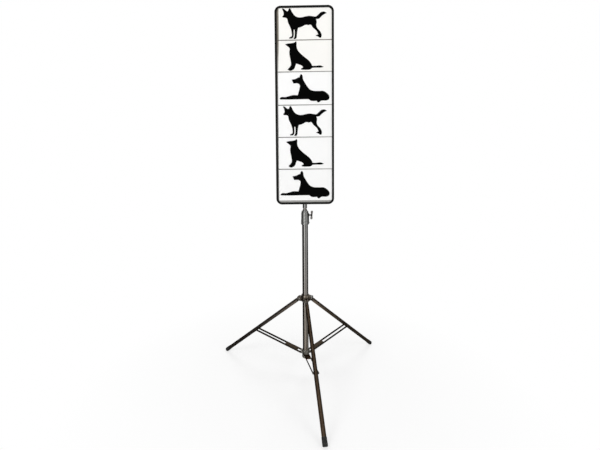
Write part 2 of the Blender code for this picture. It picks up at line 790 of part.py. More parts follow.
def make_clamp():
    """The clamp on the column's top: a cast collar, a guide bush for the riser and a T-handled screw."""
    top = CLAMP_TOP
    shoulder = COLUMN_TOP + GAP
    bush_bore = RISER_RADIUS + SLIDE_GAP
    upper_bore = GUIDE_BUSH_RADIUS + GAP
    lip_bottom = top - CLAMP_LIP
    neck = top - CLAMP_NECK_HEIGHT
    profile = (
        (CLAMP_TOP_RADIUS - CLAMP_EDGE, top),
        (CLAMP_TOP_RADIUS, top - CLAMP_EDGE),
        (CLAMP_TOP_RADIUS, neck),
        (CLAMP_RADIUS, neck - CLAMP_NECK_SLOPE),
        (CLAMP_RADIUS, CLAMP_BOTTOM + CLAMP_EDGE),
        (CLAMP_RADIUS - CLAMP_EDGE, CLAMP_BOTTOM),
        (COLUMN_RADIUS + GAP, CLAMP_BOTTOM),
        (COLUMN_RADIUS + GAP, shoulder),
        (upper_bore, shoulder),
        (upper_bore, lip_bottom),
        (bush_bore, lip_bottom),
        (bush_bore, top),
    )
    clamp = place(as_part(turned("clamp_collar", profile, closed=True), CAST), COLUMN)
    screw_pivot = pivot("clamp_screw_pivot", (0, 0, CLAMP_BOTTOM + T_SCREW_HEIGHT), parent=COLUMN)
    boss = lying_bar("clamp_boss", T_BOSS_RADIUS, CLAMP_RADIUS - SINK, T_BOSS_REACH)
    join(clamp, place(boss, screw_pivot))
    hole = lying_bar("clamp_hole", T_SCREW_RADIUS + PIN_GAP, 0, T_BOSS_REACH + PASS)
    cut(clamp, place(hole, screw_pivot))

    bush = tube("guide_bush", GUIDE_BUSH_RADIUS, bush_bore, shoulder + GAP, lip_bottom - GAP)
    place(as_part(bush, WHITE_PLASTIC), COLUMN)
    hole = lying_bar("bush_window", T_SCREW_RADIUS + WINDOW_GAP, 0, GUIDE_BUSH_RADIUS + PASS)
    cut(bush, place(hole, screw_pivot))

    tip = RISER_RADIUS + GAP
    screw = lying_bar("clamp_t_screw", T_SCREW_RADIUS, tip, T_BAR_REACH)
    place(as_part(screw, STEEL), screw_pivot)
    half = T_BAR_LENGTH / 2
    handle = place(bar("t_bar", T_BAR_RADIUS, -half, half, SMALL_ROUND), screw_pivot)
    join(screw, place(handle, screw_pivot, location=(T_BAR_REACH, 0, 0)))


def make_riser():
    """The tube that carries the board, its guide plug below and its spigot on top."""
    bore = RISER_RADIUS - RISER_WALL
    riser = tube("riser_tube", RISER_RADIUS, bore, RISER_BOTTOM, RISER_TOP)
    place(as_part(riser, CHROME), RISER_PIVOT)
    plug_top = RISER_BOTTOM + RISER_PLUG_DEPTH
    rim_top = RISER_BOTTOM - GAP
    rim = COLUMN_BORE - SLIDE_GAP
    profile = (
        (0, plug_top),
        (bore - GAP, plug_top),
        (bore - GAP, rim_top),
        (rim, rim_top),
        (rim, rim_top - RISER_PLUG_RIM),
        (0, rim_top - RISER_PLUG_RIM),
    )
    place(as_part(turned("riser_guide_plug", profile), WHITE_PLASTIC), RISER_PIVOT)
    end = SPIGOT_BASE + SPIGOT_LENGTH
    foot = RISER_TOP + GAP
    profile = (
        (0, end),
        (SPIGOT_RADIUS - TURNED_EDGE, end),
        (SPIGOT_RADIUS, end - TURNED_EDGE),
        (SPIGOT_RADIUS, SPIGOT_BASE),
        (RISER_RADIUS, SPIGOT_BASE),
        (RISER_RADIUS, foot),
        (bore - GAP, foot),
        (bore - GAP, foot - SPIGOT_PLUG_DEPTH),
        (0, foot - SPIGOT_PLUG_DEPTH),
    )
    place(as_part(turned("spigot", profile), STEEL), RISER_PIVOT)


def make_socket_bracket():
    """The socket that drops over the spigot, welded to a plate on the board's back."""
    top = SOCKET_BOTTOM + SOCKET_LENGTH
    bore = SPIGOT_RADIUS + SOCKET_BORE_GAP
    profile = (
        (0, top),
        (RISER_RADIUS - TURNED_EDGE, top),
        (RISER_RADIUS, top - TURNED_EDGE),
        (RISER_RADIUS, SOCKET_BOTTOM),
        (bore, SOCKET_BOTTOM),
        (bore, SOCKET_BORE_TOP),
        (0, SOCKET_BORE_TOP),
    )
    socket = place(as_part(turned("socket_bracket", profile), CHROME), BOARD_PIVOT)
    bottom = BOARD_BOTTOM + PLATE_START
    half = PLATE_WIDTH / 2
    outline = rounded_rectangle((-half, bottom), (half, bottom + PLATE_HEIGHT), PLATE_CORNER, PLATE_STEPS)
    plate = upright(sheet("bracket_plate", [outline], -PLATE_BACK, -PLATE_FRONT))
    join(socket, place(plate, BOARD_PIVOT))
    screw_height = SOCKET_BOTTOM + SOCKET_SCREW_HEIGHT
    screw_pivot = pivot("socket_screw_pivot", (0, 0, screw_height), parent=BOARD_PIVOT)
    hole = lying_bar("socket_hole", SOCKET_SCREW_RADIUS + PIN_GAP, 0, RISER_RADIUS + PASS, "Y")
    cut(socket, place(hole, screw_pivot))
    for spot in plate_screw_spots():
        hole = lying_bar("plate_hole", PLATE_SCREW_RADIUS + PIN_GAP, PLATE_FRONT - PASS, 0, "Y")
        cut(socket, place(hole, BOARD_PIVOT, location=spot))

    seat = SOCKET_SCREW_REACH
    end = seat + SOCKET_SCREW_HEAD_LENGTH
    tip = SPIGOT_RADIUS + GAP
    profile = (
        (0, end),
        (SOCKET_SCREW_HEAD_RADIUS - TURNED_EDGE, end),
        (SOCKET_SCREW_HEAD_RADIUS, end - TURNED_EDGE),
        (SOCKET_SCREW_HEAD_RADIUS, seat),
        (SOCKET_SCREW_RADIUS, seat),
        (SOCKET_SCREW_RADIUS, tip),
        (0, tip),
    )
    screw = as_part(turned("socket_screw", profile, SMALL_ROUND), STEEL)
    place(screw, screw_pivot, rotation=(-math.pi / 2, 0, 0))


def plate_screw_spots():
    """Where the plate's four screws go: a point on the plate for each, in the board's frame."""
    across = PLATE_WIDTH / 2 - PLATE_SCREW_INSET
    bottom = BOARD_BOTTOM + PLATE_START
    heights = (bottom + PLATE_SCREW_INSET, bottom + PLATE_HEIGHT - PLATE_SCREW_INSET)
    return [(x, 0, z) for z in heights for x in (-across, across)]


def make_plate_screws(backing):
    """Four screws through the plate into the backing board, which gets a blind hole for each."""
    head_in = PLATE_BACK + GAP
    end = PLATE_FRONT - PLATE_SCREW_LENGTH
    profile = (
        (0, head_in + PLATE_SCREW_HEAD_THICK),
        (PLATE_SCREW_CROWN, head_in + PLATE_SCREW_HEAD_THICK),
        (PLATE_SCREW_HEAD, head_in + PLATE_SCREW_HEAD_THICK - PLATE_SCREW_HEAD_EDGE),
        (PLATE_SCREW_HEAD, head_in),
        (PLATE_SCREW_RADIUS, head_in),
        (PLATE_SCREW_RADIUS, end + PLATE_SCREW_RADIUS),
        (0, end),
    )
    for number, spot in enumerate(plate_screw_spots(), 1):
        screw = as_part(turned(f"bracket_screw_{number}", profile, SMALL_ROUND), STEEL)
        place(screw, BOARD_PIVOT, location=spot, rotation=(-math.pi / 2, 0, 0))
        hole = lying_bar("pilot", PLATE_SCREW_RADIUS + GAP, end - GAP, 0, "Y")
        cut(backing, place(hole, BOARD_PIVOT, location=spot))


def board_outline(inset, steps=CORNER_STEPS):
    """The board's rounded outline, drawn in by an inset."""
    half = BOARD_WIDTH / 2 - inset
    low = (-half, BOARD_BOTTOM + inset)
    high = (half, BOARD_TOP - inset)
    return rounded_rectangle(low, high, BOARD_CORNER - inset, steps)


def make_rim():
    """The black rim: a side wall round the board with a narrow lip in front."""
    rim = upright(sheet("rim", [board_outline(0)], -BOARD_BACK, -BOARD_FRONT))
    place(as_part(rim, BLACK_RIM), BOARD_PIVOT)
    pocket = upright(sheet("rim_pocket", [board_outline(RIM_WALL)], 0, -LIP_BACK))
    cut(rim, place(pocket, BOARD_PIVOT))
    window = upright(sheet("rim_window", [board_outline(RIM_LIP)], 0, PASS - BOARD_FRONT))
    cut(rim, place(window, BOARD_PIVOT))


def in_pocket(thing):
    """Trims a piece to the rim's rounded pocket."""
    fill = upright(sheet("pocket_fill", [board_outline(POCKET_INSET)], 0, PASS - BOARD_FRONT))
    return boolean(thing, place(as_tool(fill), BOARD_PIVOT), "INTERSECT")


def make_backing():
    backing = upright(sheet("backing_board", [board_outline(POCKET_INSET)], -BOARD_BACK, -BACKING_FRONT))
    return place(as_part(backing, BACKING), BOARD_PIVOT)


def make_rail_and_sill():
    """The grey stop rail down the left and the sill along the bottom, which the panels stand against."""
    left = -BOARD_WIDTH / 2
    rail = block("stop_rail", (left, PANEL_FRONT, BOARD_BOTTOM), (RAIL_EDGE, PANEL_BACK, BOARD_TOP))
    in_pocket(place(as_part(rail, GREY), BOARD_PIVOT))
    low = (RAIL_EDGE + GAP, PANEL_FRONT, BOARD_BOTTOM)
    sill = block("bottom_sill", low, (-left, PANEL_BACK, SILL_EDGE))
    in_pocket(place(as_part(sill, GREY), BOARD_PIVOT))


def cell_edge(number):
    """The height between two cells, counted from the sill: evenly spaced, but for how each divider sits."""
    return SILL_EDGE + number * CELL_PITCH + EDGE_RISES[number]


def make_dividers():
    """A T-section bar between each two panels."""
    for number in range(1, CELLS):
        height = cell_edge(number)
        left = RAIL_EDGE + GAP
        right = WINDOW_RIGHT - GAP
        face_back = PANEL_FRONT - GAP
        face_front = face_back - DIVIDER_FACE_THICK
        half_face = DIVIDER_FACE / 2
        half_web = DIVIDER_WEB / 2
        face = block(
            f"divider_{number}",
            (left, face_front, height - half_face),
            (right, face_back, height + half_face),
        )
        web = block(
            f"divider_web_{number}",
            (left + WEB_INSET, face_back - WEB_INSET, height - half_web),
            (right - WEB_INSET, PANEL_BACK, height + half_web),
        )
        join(place(as_part(face, GREY), BOARD_PIVOT), place(web, BOARD_PIVOT))


def make_panels():
    """Six white panels, numbered from the bottom, in the slots between rail, sill, dividers and rim."""
    left = RAIL_EDGE + GAP
    right = BOARD_WIDTH / 2 - POCKET_INSET
    half_gap = DIVIDER_WEB / 2 + GAP
    for number in range(1, CELLS + 1):
        bottom = cell_edge(number - 1) + (GAP if number == 1 else half_gap)
        top = cell_edge(number) - half_gap
        if number == CELLS:
            top = BOARD_TOP - POCKET_INSET
        low = (left, PANEL_FRONT, bottom)
        panel = block(f"picture_panel_{number}", low, (right, PANEL_BACK, top))
        place(as_part(panel, WHITE), BOARD_PIVOT)
        if number in (1, CELLS):
            in_pocket(panel)


def figure_sheet(name, outline, height):
    """A flat figure from smooth and corner points, standing in front of its panel."""
    curve = bpy.data.curves.new(name, "CURVE")
    curve.dimensions = "2D"
    curve.fill_mode = "BOTH"
    curve.extrude = FIGURE_THICK / 2
    curve.resolution_u = FIGURE_STEPS
    spline = curve.splines.new("BEZIER")
    spline.bezier_points.add(len(outline) - 1)
    for point, drawn in zip(spline.bezier_points, outline):
        point.co = (drawn[0] * FIGURE_SQUARE, drawn[1] * FIGURE_SQUARE + height, 0)
        kind = "VECTOR" if CORNER in drawn else "AUTO"
        point.handle_left_type = kind
        point.handle_right_type = kind
    spline.use_cyclic_u = True
    back = PANEL_FRONT - GAP
    return upright(solid_from_curve(name, curve, -back + FIGURE_THICK / 2))


def make_figures():
    """From the bottom: lying, sitting, standing, and the same three again."""
    for number in range(1, CELLS + 1):
        kind = (number - 1) % len(FIGURES)
        middle = (cell_edge(number - 1) + cell_edge(number)) / 2
        name = f"figure_{number}_{FIGURE_NAMES[kind]}"
        place(as_part(figure_sheet(name, FIGURES[kind], middle), BLACK_VINYL), BOARD_PIVOT)


clear_scene()
PARTS = new_collection("Dog training sign board")
TOOLS = new_collection("Cutters and joined shapes")

CHROME = finish_of("Chromed steel", (0.46, 0.45, 0.43), 0.22, 1.0)
BRONZE = finish_of("Dark chromed tube", (0.20, 0.15, 0.11), 0.30, 1.0)
STEEL = finish_of("Bright steel", (0.60, 0.58, 0.55), 0.30, 1.0)
CAST = finish_of("Cast alloy", (0.42, 0.41, 0.39), 0.45, 1.0)
WHITE_PLASTIC = finish_of("White nylon", (0.75, 0.74, 0.70), 0.45)
RUBBER = finish_of("Black rubber", (0.02, 0.02, 0.02), 0.80)
BLACK_RIM = finish_of("Black rim", (0.012, 0.012, 0.011), 0.40)
BACKING = finish_of("Backing board", (0.30, 0.30, 0.29), 0.70)
GREY = finish_of("Grey rail", (0.30, 0.29, 0.26), 0.50)
WHITE = finish_of("White panel", (0.90, 0.90, 0.88), 0.35)
BLACK_VINYL = finish_of("Black vinyl", (0.006, 0.006, 0.006), 0.50)

LEG_TURNS = {name: math.radians(azimuth) for name, azimuth in zip(LEG_NAMES, LEG_AZIMUTHS)}
LOCK_TURN = (LEG_TURNS["right"] + LEG_TURNS["front"]) / 2
COLUMN = pivot("column_axis", (COLUMN_X, COLUMN_Y, 0))
STAND = pivot("stand", (0, 0, 0), turn=math.radians(STAND_TURN), parent=COLUMN)
HUB_PIVOT = pivot("hub_slide", (0, 0, HUB_PIN_HEIGHT), parent=STAND)
RISER_PIVOT = pivot("riser_slide", (0, 0, 0), parent=COLUMN)
BOARD_PIVOT = pivot("board_turn", (0, 0, 0), parent=RISER_PIVOT)

make_column()
make_lower_collar()
make_hub()
make_lock_screw()
for leg_name, leg_turn in LEG_TURNS.items():
    make_leg(leg_name, leg_turn)
    make_brace(leg_name, leg_turn)
make_clamp()
make_riser()
make_socket_bracket()
make_rim()
make_plate_screws(make_backing())
make_rail_and_sill()
make_dividers()
make_panels()
make_figures()
for thing in PARTS.objects:
    if thing.type == "MESH":
        keep_edges(thing)
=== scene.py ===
import math

import bmesh
import bpy
from mathutils import Matrix, Vector


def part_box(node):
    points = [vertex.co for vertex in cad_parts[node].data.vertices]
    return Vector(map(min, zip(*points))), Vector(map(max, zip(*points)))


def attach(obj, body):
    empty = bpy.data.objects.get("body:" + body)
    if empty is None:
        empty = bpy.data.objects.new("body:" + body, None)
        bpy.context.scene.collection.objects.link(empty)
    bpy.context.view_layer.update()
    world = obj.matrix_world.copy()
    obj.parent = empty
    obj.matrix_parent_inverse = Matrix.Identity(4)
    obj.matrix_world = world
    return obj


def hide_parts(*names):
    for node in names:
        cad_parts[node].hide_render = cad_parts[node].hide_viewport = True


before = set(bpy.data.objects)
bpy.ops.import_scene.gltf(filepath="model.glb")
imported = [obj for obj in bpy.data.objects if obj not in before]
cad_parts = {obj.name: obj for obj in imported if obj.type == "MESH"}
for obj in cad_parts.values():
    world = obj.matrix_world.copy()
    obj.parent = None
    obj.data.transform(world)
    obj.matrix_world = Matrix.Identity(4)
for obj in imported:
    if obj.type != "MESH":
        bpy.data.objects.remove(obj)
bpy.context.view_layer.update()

# Camera: a wide lens 1.07 m above the floor, 1.75 m in front of the column and 0.11 m to its left. It
# looks 3.4 degrees down and a little to the left, and the picture leans 0.6 of a degree.
camera_data = bpy.data.cameras.new("Camera")
camera_data.sensor_width = 36.0
camera_data.lens = 20.863
camera_data.shift_x = 0.0384
camera_data.shift_y = -0.0647
camera = bpy.data.objects.new("Camera", camera_data)
camera.matrix_world = (
    Matrix.Translation((-0.0932, -1.6482, 1.0749))
    @ Matrix.Rotation(math.radians(0.877), 4, "Z")
    @ Matrix.Rotation(math.radians(90.0 - 3.442), 4, "X")
    @ Matrix.Rotation(math.radians(-0.623), 4, "Z")
)
bpy.context.scene.collection.objects.link(camera)
bpy.context.scene.camera = camera
bpy.context.scene.view_settings.view_transform = "Standard"


# Studio: a white floor that keeps a soft shadow near the feet, a white surround and three large soft
# lamps. A round tent of light and dark wedges is seen by polished surfaces only, as a product studio
# sets up cards and black cloth, so that bright tube shows bands and keeps its edges on white.
class Wire:
    """A socket of a material's nodes. Sums on it add Math nodes, and add() makes any other node."""

    def __init__(self, tree, socket=None, where=None):
        self.tree = tree
        self.socket = socket
        self.where = where

    def add(self, kind, settings=None, values=None, out=0):
        node = self.tree.nodes.new(kind)
        for name, value in (settings or {}).items():
            setattr(node, name, value)
        for key, value in (values or {}).items():
            if isinstance(value, Wire):
                self.tree.links.new(value.socket, node.inputs[key])
            else:
                node.inputs[key].default_value = value
        return Wire(self.tree, node.outputs[out] if node.outputs else None, self.where)

    def sum_of(self, operation, first, second):
        return self.add("ShaderNodeMath", {"operation": operation}, {0: first, 1: second})

    def __add__(self, other):
        return self.sum_of("ADD", self, other)

    def __radd__(self, other):
        return self.sum_of("ADD", other, self)

    def __sub__(self, other):
        return self.sum_of("SUBTRACT", self, other)

    def __rsub__(self, other):
        return self.sum_of("SUBTRACT", other, self)

    def __mul__(self, other):
        return self.sum_of("MULTIPLY", self, other)

    def __rmul__(self, other):
        return self.sum_of("MULTIPLY", other, self)

    def held(self, low=0.0, high=1.0):
        """The value mapped from low..high to 0..1, and held there."""
        values = {"Value": self, "From Min": low, "From Max": high}
        return self.add("ShaderNodeMapRange", {"clamp": True}, values)

    def blend(self, first, second):
        """A colour between two, by this value."""
        first, second = (c if isinstance(c, Wire) else (*c, 1.0) for c in (first, second))
        settings = {"data_type": "RGBA", "clamp_factor": True}
        return self.add("ShaderNodeMix", settings, {0: self, 6: first, 7: second}, out=2)

    def place(self):
        """Where the point is: in the object's own metres, or in the frame of a leaning piece."""
        return self.where or self.add("ShaderNodeTexCoord", out="Object")

    def along(self, axis):
        return self.add("ShaderNodeSeparateXYZ", None, {"Vector": self.place()}, out=axis)

    def speckle(self, scale, stretch=(1.0, 1.0, 1.0), detail=3.0, roughness=0.5):
        """Noise over the piece, drawn out by a stretch."""
        drawn = self.add("ShaderNodeMapping", None, {"Vector": self.place(), "Scale": stretch})
        values = {"Vector": drawn, "Scale": scale, "Detail": detail, "Roughness": roughness}
        return self.add("ShaderNodeTexNoise", None, values)


def studio_floor_paint():
    """White matt paint whose shadow the camera and mirrors see faintly, and only near the object.

    It shows at a third of its depth up to 0.45 m from the middle, and is gone from 1.1 m on.
    """
    surface = bpy.data.materials.new("studio_white")
    surface.use_nodes = True
    surface.node_tree.nodes.clear()
    make = Wire(surface.node_tree)
    matt = make.add("ShaderNodeBsdfDiffuse", None, {"Color": (0.93, 0.93, 0.93, 1.0)})
    glow = make.add("ShaderNodeEmission")
    seen = make.add("ShaderNodeLightPath", out="Is Camera Ray")
    mirrored = make.add("ShaderNodeLightPath", out="Is Glossy Ray")
    distance = make.add("ShaderNodeVectorMath", {"operation": "LENGTH"}, {0: make.place()}, out="Value")
    far = distance.held(0.45, 1.1)
    share = seen.sum_of("MAXIMUM", seen, mirrored) * (0.62 + far * 0.38)
    mixed = make.add("ShaderNodeMixShader", None, {0: share, 1: matt, 2: glow})
    make.add("ShaderNodeOutputMaterial", None, {"Surface": mixed})
    return surface


column_place = (0.0202, 0.1053, 0.0)
tent_reach, tent_foot, tent_roof = 2.3, 0.002, 4.4


def lay_wedge(name, start, end, glow):
    """A wedge of the tent about the column, between two bearings from the front, from floor to roof."""
    paint = bpy.data.materials.new(name)
    paint.use_nodes = True
    paint.node_tree.nodes.clear()
    make = Wire(paint.node_tree)
    light = make.add("ShaderNodeEmission", None, {"Color": (glow, glow, glow, 1.0)})
    make.add("ShaderNodeOutputMaterial", None, {"Surface": light})
    shape = bmesh.new()
    section = ((0.01, tent_foot), (tent_reach, tent_foot), (tent_reach, tent_roof), (0.01, tent_roof))
    points = [shape.verts.new((reach, 0.0, z)) for reach, z in section]
    edges = [shape.edges.new(pair) for pair in zip(points, points[1:])]
    sweep = math.radians(end - start)
    bmesh.ops.spin(shape, geom=points + edges, cent=(0, 0, 0), axis=(0, 0, 1), angle=sweep, steps=24)
    stand = Matrix.Translation(column_place) @ Matrix.Rotation(math.radians(start - 90.0), 4, "Z")
    bmesh.ops.transform(shape, matrix=stand, verts=shape.verts)
    mesh = bpy.data.meshes.new(name)
    shape.to_mesh(mesh)
    shape.free()
    mesh.materials.append(paint)
    wedge = bpy.data.objects.new(name, mesh)
    for ray in ("camera", "diffuse", "transmission", "shadow"):
        setattr(wedge, "visible_" + ray, False)
    bpy.context.scene.collection.objects.link(wedge)


floor_shape = bmesh.new()
bmesh.ops.create_grid(floor_shape, x_segments=1, y_segments=1, size=12.0)
floor_mesh = bpy.data.meshes.new("studio_floor")
floor_shape.to_mesh(floor_mesh)
floor_shape.free()
floor_mesh.materials.append(studio_floor_paint())
floor = bpy.data.objects.new("studio_floor", floor_mesh)
bpy.context.scene.collection.objects.link(floor)

world = bpy.data.worlds.new("studio_world")
world.use_nodes = True
world.node_tree.nodes.clear()
bpy.context.scene.world = world
make = Wire(world.node_tree)
seen = make.add("ShaderNodeLightPath", out="Is Camera Ray")
for ray in ("Is Glossy Ray", "Is Transmission Ray"):
    seen = seen.sum_of("MAXIMUM", seen, make.add("ShaderNodeLightPath", out=ray))
sky = {"Color": (1.0, 1.0, 1.0, 1.0), "Strength": 0.5 + seen * 0.5}
surround = make.add("ShaderNodeBackground", None, sky)
make.add("ShaderNodeOutputWorld", None, {"Surface": surround})

for name, start, end, glow in (
    ("tent_front_left", -44.0, -6.0, 1.0),
    ("tent_front_right", -6.0, 33.0, 0.23),
    ("tent_right", 33.0, 68.0, 0.56),
    ("tent_dark_right", 68.0, 150.0, 0.04),
    ("tent_back", 150.0, 210.0, 0.80),
    ("tent_dark_left", 210.0, 316.0, 0.04),
):
    lay_wedge(name, start, end, glow)

for name, place, aim, size, power in (
    ("lamp_left", (-2.3, -2.4, 2.7), (0.0, 0.1, 1.1), 1.7, 60.0),
    ("lamp_right", (2.4, -2.0, 2.4), (0.0, 0.1, 0.9), 1.7, 30.0),
    ("lamp_back", (0.3, 2.6, 3.3), (0.0, 0.1, 0.9), 1.7, 45.0),
):
    lamp_data = bpy.data.lights.new(name, "AREA")
    lamp_data.shape = "RECTANGLE"
    lamp_data.size = size
    lamp_data.size_y = size
    lamp_data.energy = power
    lamp = bpy.data.objects.new(name, lamp_data)
    lamp.location = place
    lamp.rotation_euler = (Vector(aim) - Vector(place)).to_track_quat("-Z", "Y").to_euler()
    lamp.visible_glossy = False
    bpy.context.scene.collection.objects.link(lamp)


# Column: 30 mm steel tube, drawn and bright plated, so its marks run along it. It is scuffed by the hub
# that slides on it, and a painted reflection of a brown floor makes it browner towards its foot.
def new_finish(name, metallic=0.0, leaning=None, **sockets):
    """A material with its Principled sockets set, and a Wire that makes the nodes that vary them.

    A leaning piece's frame gives the finish its own axes, so that a grain can run along the piece.
    """
    finish = bpy.data.materials.new(name)
    finish.use_nodes = True
    shader = finish.node_tree.nodes["Principled BSDF"]
    shader.inputs["Metallic"].default_value = metallic
    for socket, value in sockets.items():
        shader.inputs[socket.replace("_", " ")].default_value = value
    make = Wire(finish.node_tree)
    if leaning:
        spot = tuple(leaning.translation)
        values = {"Vector": make.place(), "Location": spot, "Rotation": tuple(leaning.to_euler())}
        make.where = make.add("ShaderNodeMapping", {"vector_type": "TEXTURE"}, values)
    return finish, make


def feed(finish, colour=None, roughness=None, bump=None, depth=0.0001):
    """Links what varies over the surface to the finish's shader."""
    links = finish.node_tree.links
    shader = finish.node_tree.nodes["Principled BSDF"]
    for socket, value in (("Base Color", colour), ("Roughness", roughness)):
        if value is not None:
            links.new(value.socket, shader.inputs[socket])
    if bump is not None:
        relief = bump.add("ShaderNodeBump", None, {"Height": bump, "Distance": depth})
        links.new(relief.socket, shader.inputs["Normal"])
    return finish


def plated_tube(name, clean, dull, floor_reflection_from, floor_reflection_to):
    """Bright plate on drawn tube: long fine lines, cloudy tarnish, small scuffs, a painted brown floor
    reflection low down.
    """
    finish, make = new_finish(name, metallic=1.0, Specular_Tint=(0.30, 0.29, 0.28, 1.0))
    drawn = make.speckle(60.0, (14.0, 14.0, 0.5), detail=4.0)
    cloud = make.speckle(9.0, (1.0, 1.0, 0.5), detail=5.0, roughness=0.6).held(0.32, 0.68)
    scuffs = make.speckle(210.0, (1.0, 1.0, 0.3), detail=5.0, roughness=0.7).held(0.60, 0.70)
    # Low down the plate takes a painted reflection of a brown floor.
    low = 1.0 - make.along("Z").held(floor_reflection_from, floor_reflection_to)
    floor_reflection_brown = cloud.blend((0.25, 0.205, 0.16), (0.40, 0.345, 0.29))
    plate = low.blend(cloud.blend(dull, clean), floor_reflection_brown)
    colour = (scuffs * 0.4).blend(plate, (0.16, 0.145, 0.13))
    roughness = 0.11 + cloud * 0.06 + drawn * 0.04 + scuffs * 0.20 + low * 0.04
    return feed(finish, colour, roughness, bump=drawn + scuffs * 0.6, depth=0.00002)


def finished(name, shape, finish, body, stands_for=(), sharp=38.0):
    """The shape as a finished piece that rides on its body and takes the place of CAD nodes."""
    bmesh.ops.recalc_face_normals(shape, faces=shape.faces)
    for face in shape.faces:
        face.smooth = True
    mesh = bpy.data.meshes.new(name)
    shape.to_mesh(mesh)
    shape.free()
    mesh.set_sharp_from_angle(angle=math.radians(sharp))
    mesh.materials.append(finish)
    piece = bpy.data.objects.new(name, mesh)
    bpy.context.scene.collection.objects.link(piece)
    even = piece.modifiers.new("Even shading", "WEIGHTED_NORMAL")
    even.keep_sharp = True
    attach(piece, body)
    if stands_for:
        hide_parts(*stands_for)
    return piece


def spun(profile, steps=64, closed=False):
    """A turned shape about Z from (radius, z) points. An open profile starts and ends on the axis."""
    shape = bmesh.new()
    points = [shape.verts.new((radius, 0.0, z)) for radius, z in profile]
    pairs = list(zip(points, points[1:]))
    if closed:
        pairs.append((points[-1], points[0]))
    edges = [shape.edges.new(pair) for pair in pairs]
    bmesh.ops.spin(
        shape, geom=points + edges, cent=(0, 0, 0), axis=(0, 0, 1), angle=math.tau, steps=steps,
        use_merge=True,
    )
    bmesh.ops.remove_doubles(shape, verts=shape.verts, dist=0.000002)
    return shape


def soften(shape, width, segments=2, angle=35.0):
    """Rounds the edges that are sharper than the angle."""
    sharp = [e for e in shape.edges if e.is_manifold and e.calc_face_angle() > math.radians(angle)]
    bmesh.ops.bevel(
        shape, geom=sharp, offset=width, offset_type="OFFSET", segments=segments, profile=0.5,
        affect="EDGES", material=-1, clamp_overlap=True,
    )
    return shape


def moved(shape, matrix):
    bmesh.ops.transform(shape, matrix=matrix, verts=shape.verts)
    return shape


def joined(*shapes):
    """Several closed shapes as one."""
    whole = bmesh.new()
    for shape in shapes:
        mesh = bpy.data.meshes.new("shape")
        bmesh.ops.recalc_face_normals(shape, faces=shape.faces)
        shape.to_mesh(mesh)
        shape.free()
        whole.from_mesh(mesh)
        bpy.data.meshes.remove(mesh)
    return whole


def shift(x=0.0, y=0.0, z=0.0):
    return Matrix.Translation((x, y, z))


def turn_about(axis, degrees):
    return Matrix.Rotation(math.radians(degrees), 4, axis)


low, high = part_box("column_tube")
column_axis = shift((low.x + high.x) / 2, (low.y + high.y) / 2)
column_plate = plated_tube("column_plate", (0.53, 0.525, 0.51), (0.42, 0.41, 0.395), 0.12, 0.66)
column_radius, column_bore = 0.015, 0.0135
column_profile = (
    (column_radius, high.z), (column_radius, low.z), (column_bore, low.z), (column_bore, high.z),
)
column_shell = moved(soften(spun(column_profile, closed=True), 0.0004), column_axis)
finished("column_shell", column_shell, column_plate, "column", ["column_tube"])


# Column foot: a moulded nylon plug closes the tube's lower end, yellowed with age. Round the tube there
# a cast alloy collar is pressed on, with a wide lug for each brace, tumbled and left bare.
def moulded_nylon(name, colour, grime):
    finish, make = new_finish(name)
    darkening = make.speckle(95.0, detail=5.0, roughness=0.65).held(0.42, 0.72)
    grain = make.speckle(1400.0, detail=2.0)
    return feed(finish, darkening.blend(colour, grime), 0.42 + darkening * 0.2, bump=grain, depth=0.00004)


def cast_metal(name, colour, recess, bloom=0.30, roughness=0.40, darker_where=lambda make: 0.0):
    """Tumbled casting: a fine pebbled skin, dark patches, painted shade in its hollows, edges rubbed
    brighter.

    The function passed last gives how far a place is darkened further: painted shade on the clamp's pad
    and in the handle's crevice, and darker ears on the hub.
    """
    finish, make = new_finish(name, metallic=1.0)
    pebble = make.speckle(900.0, detail=3.0, roughness=0.6)
    coarse = make.speckle(160.0, detail=4.0, roughness=0.6)
    corner = make.add("ShaderNodeNewGeometry", out="Pointiness")
    worn = corner.held(0.515, 0.60)
    # Painted shade in the hollows, where the surface curves inward.
    hollow_shade = 1.0 - corner.held(0.40, 0.49)
    darkening = (coarse.held(0.45, 0.70) * 0.6 + hollow_shade * 0.7 + darker_where(make)).held()
    rubbed = tuple(min(1.0, channel * (1.0 + bloom)) for channel in colour)
    skin = worn.blend(darkening.blend(colour, recess), rubbed)
    gloss = roughness + coarse * 0.16 + darkening * 0.12 - worn * 0.14
    return feed(finish, skin, gloss, bump=pebble + coarse * 1.5, depth=0.00009)


def slab(outline, thickness):
    """A flat slab in XZ from outline points, as thick along Y as given, about Y = 0."""
    shape = bmesh.new()
    points = [shape.verts.new((x, -thickness / 2, z)) for x, z in outline]
    grown = bmesh.ops.extrude_face_region(shape, geom=[shape.faces.new(points)])
    raised = [item for item in grown["geom"] if isinstance(item, bmesh.types.BMVert)]
    bmesh.ops.translate(shape, vec=(0, thickness, 0), verts=raised)
    bmesh.ops.recalc_face_normals(shape, faces=shape.faces)
    return shape


def arc(centre, radius, start, end, steps=16):
    angles = [math.radians(start + (end - start) * i / steps) for i in range(steps + 1)]
    return [(centre[0] + radius * math.cos(a), centre[1] + radius * math.sin(a)) for a in angles]


def lug_outline(reach, root, radius):
    """A lug from its root to a round end about its pin."""
    return arc((reach, 0), radius, -90, 90) + [(root, radius), (root, -radius)]


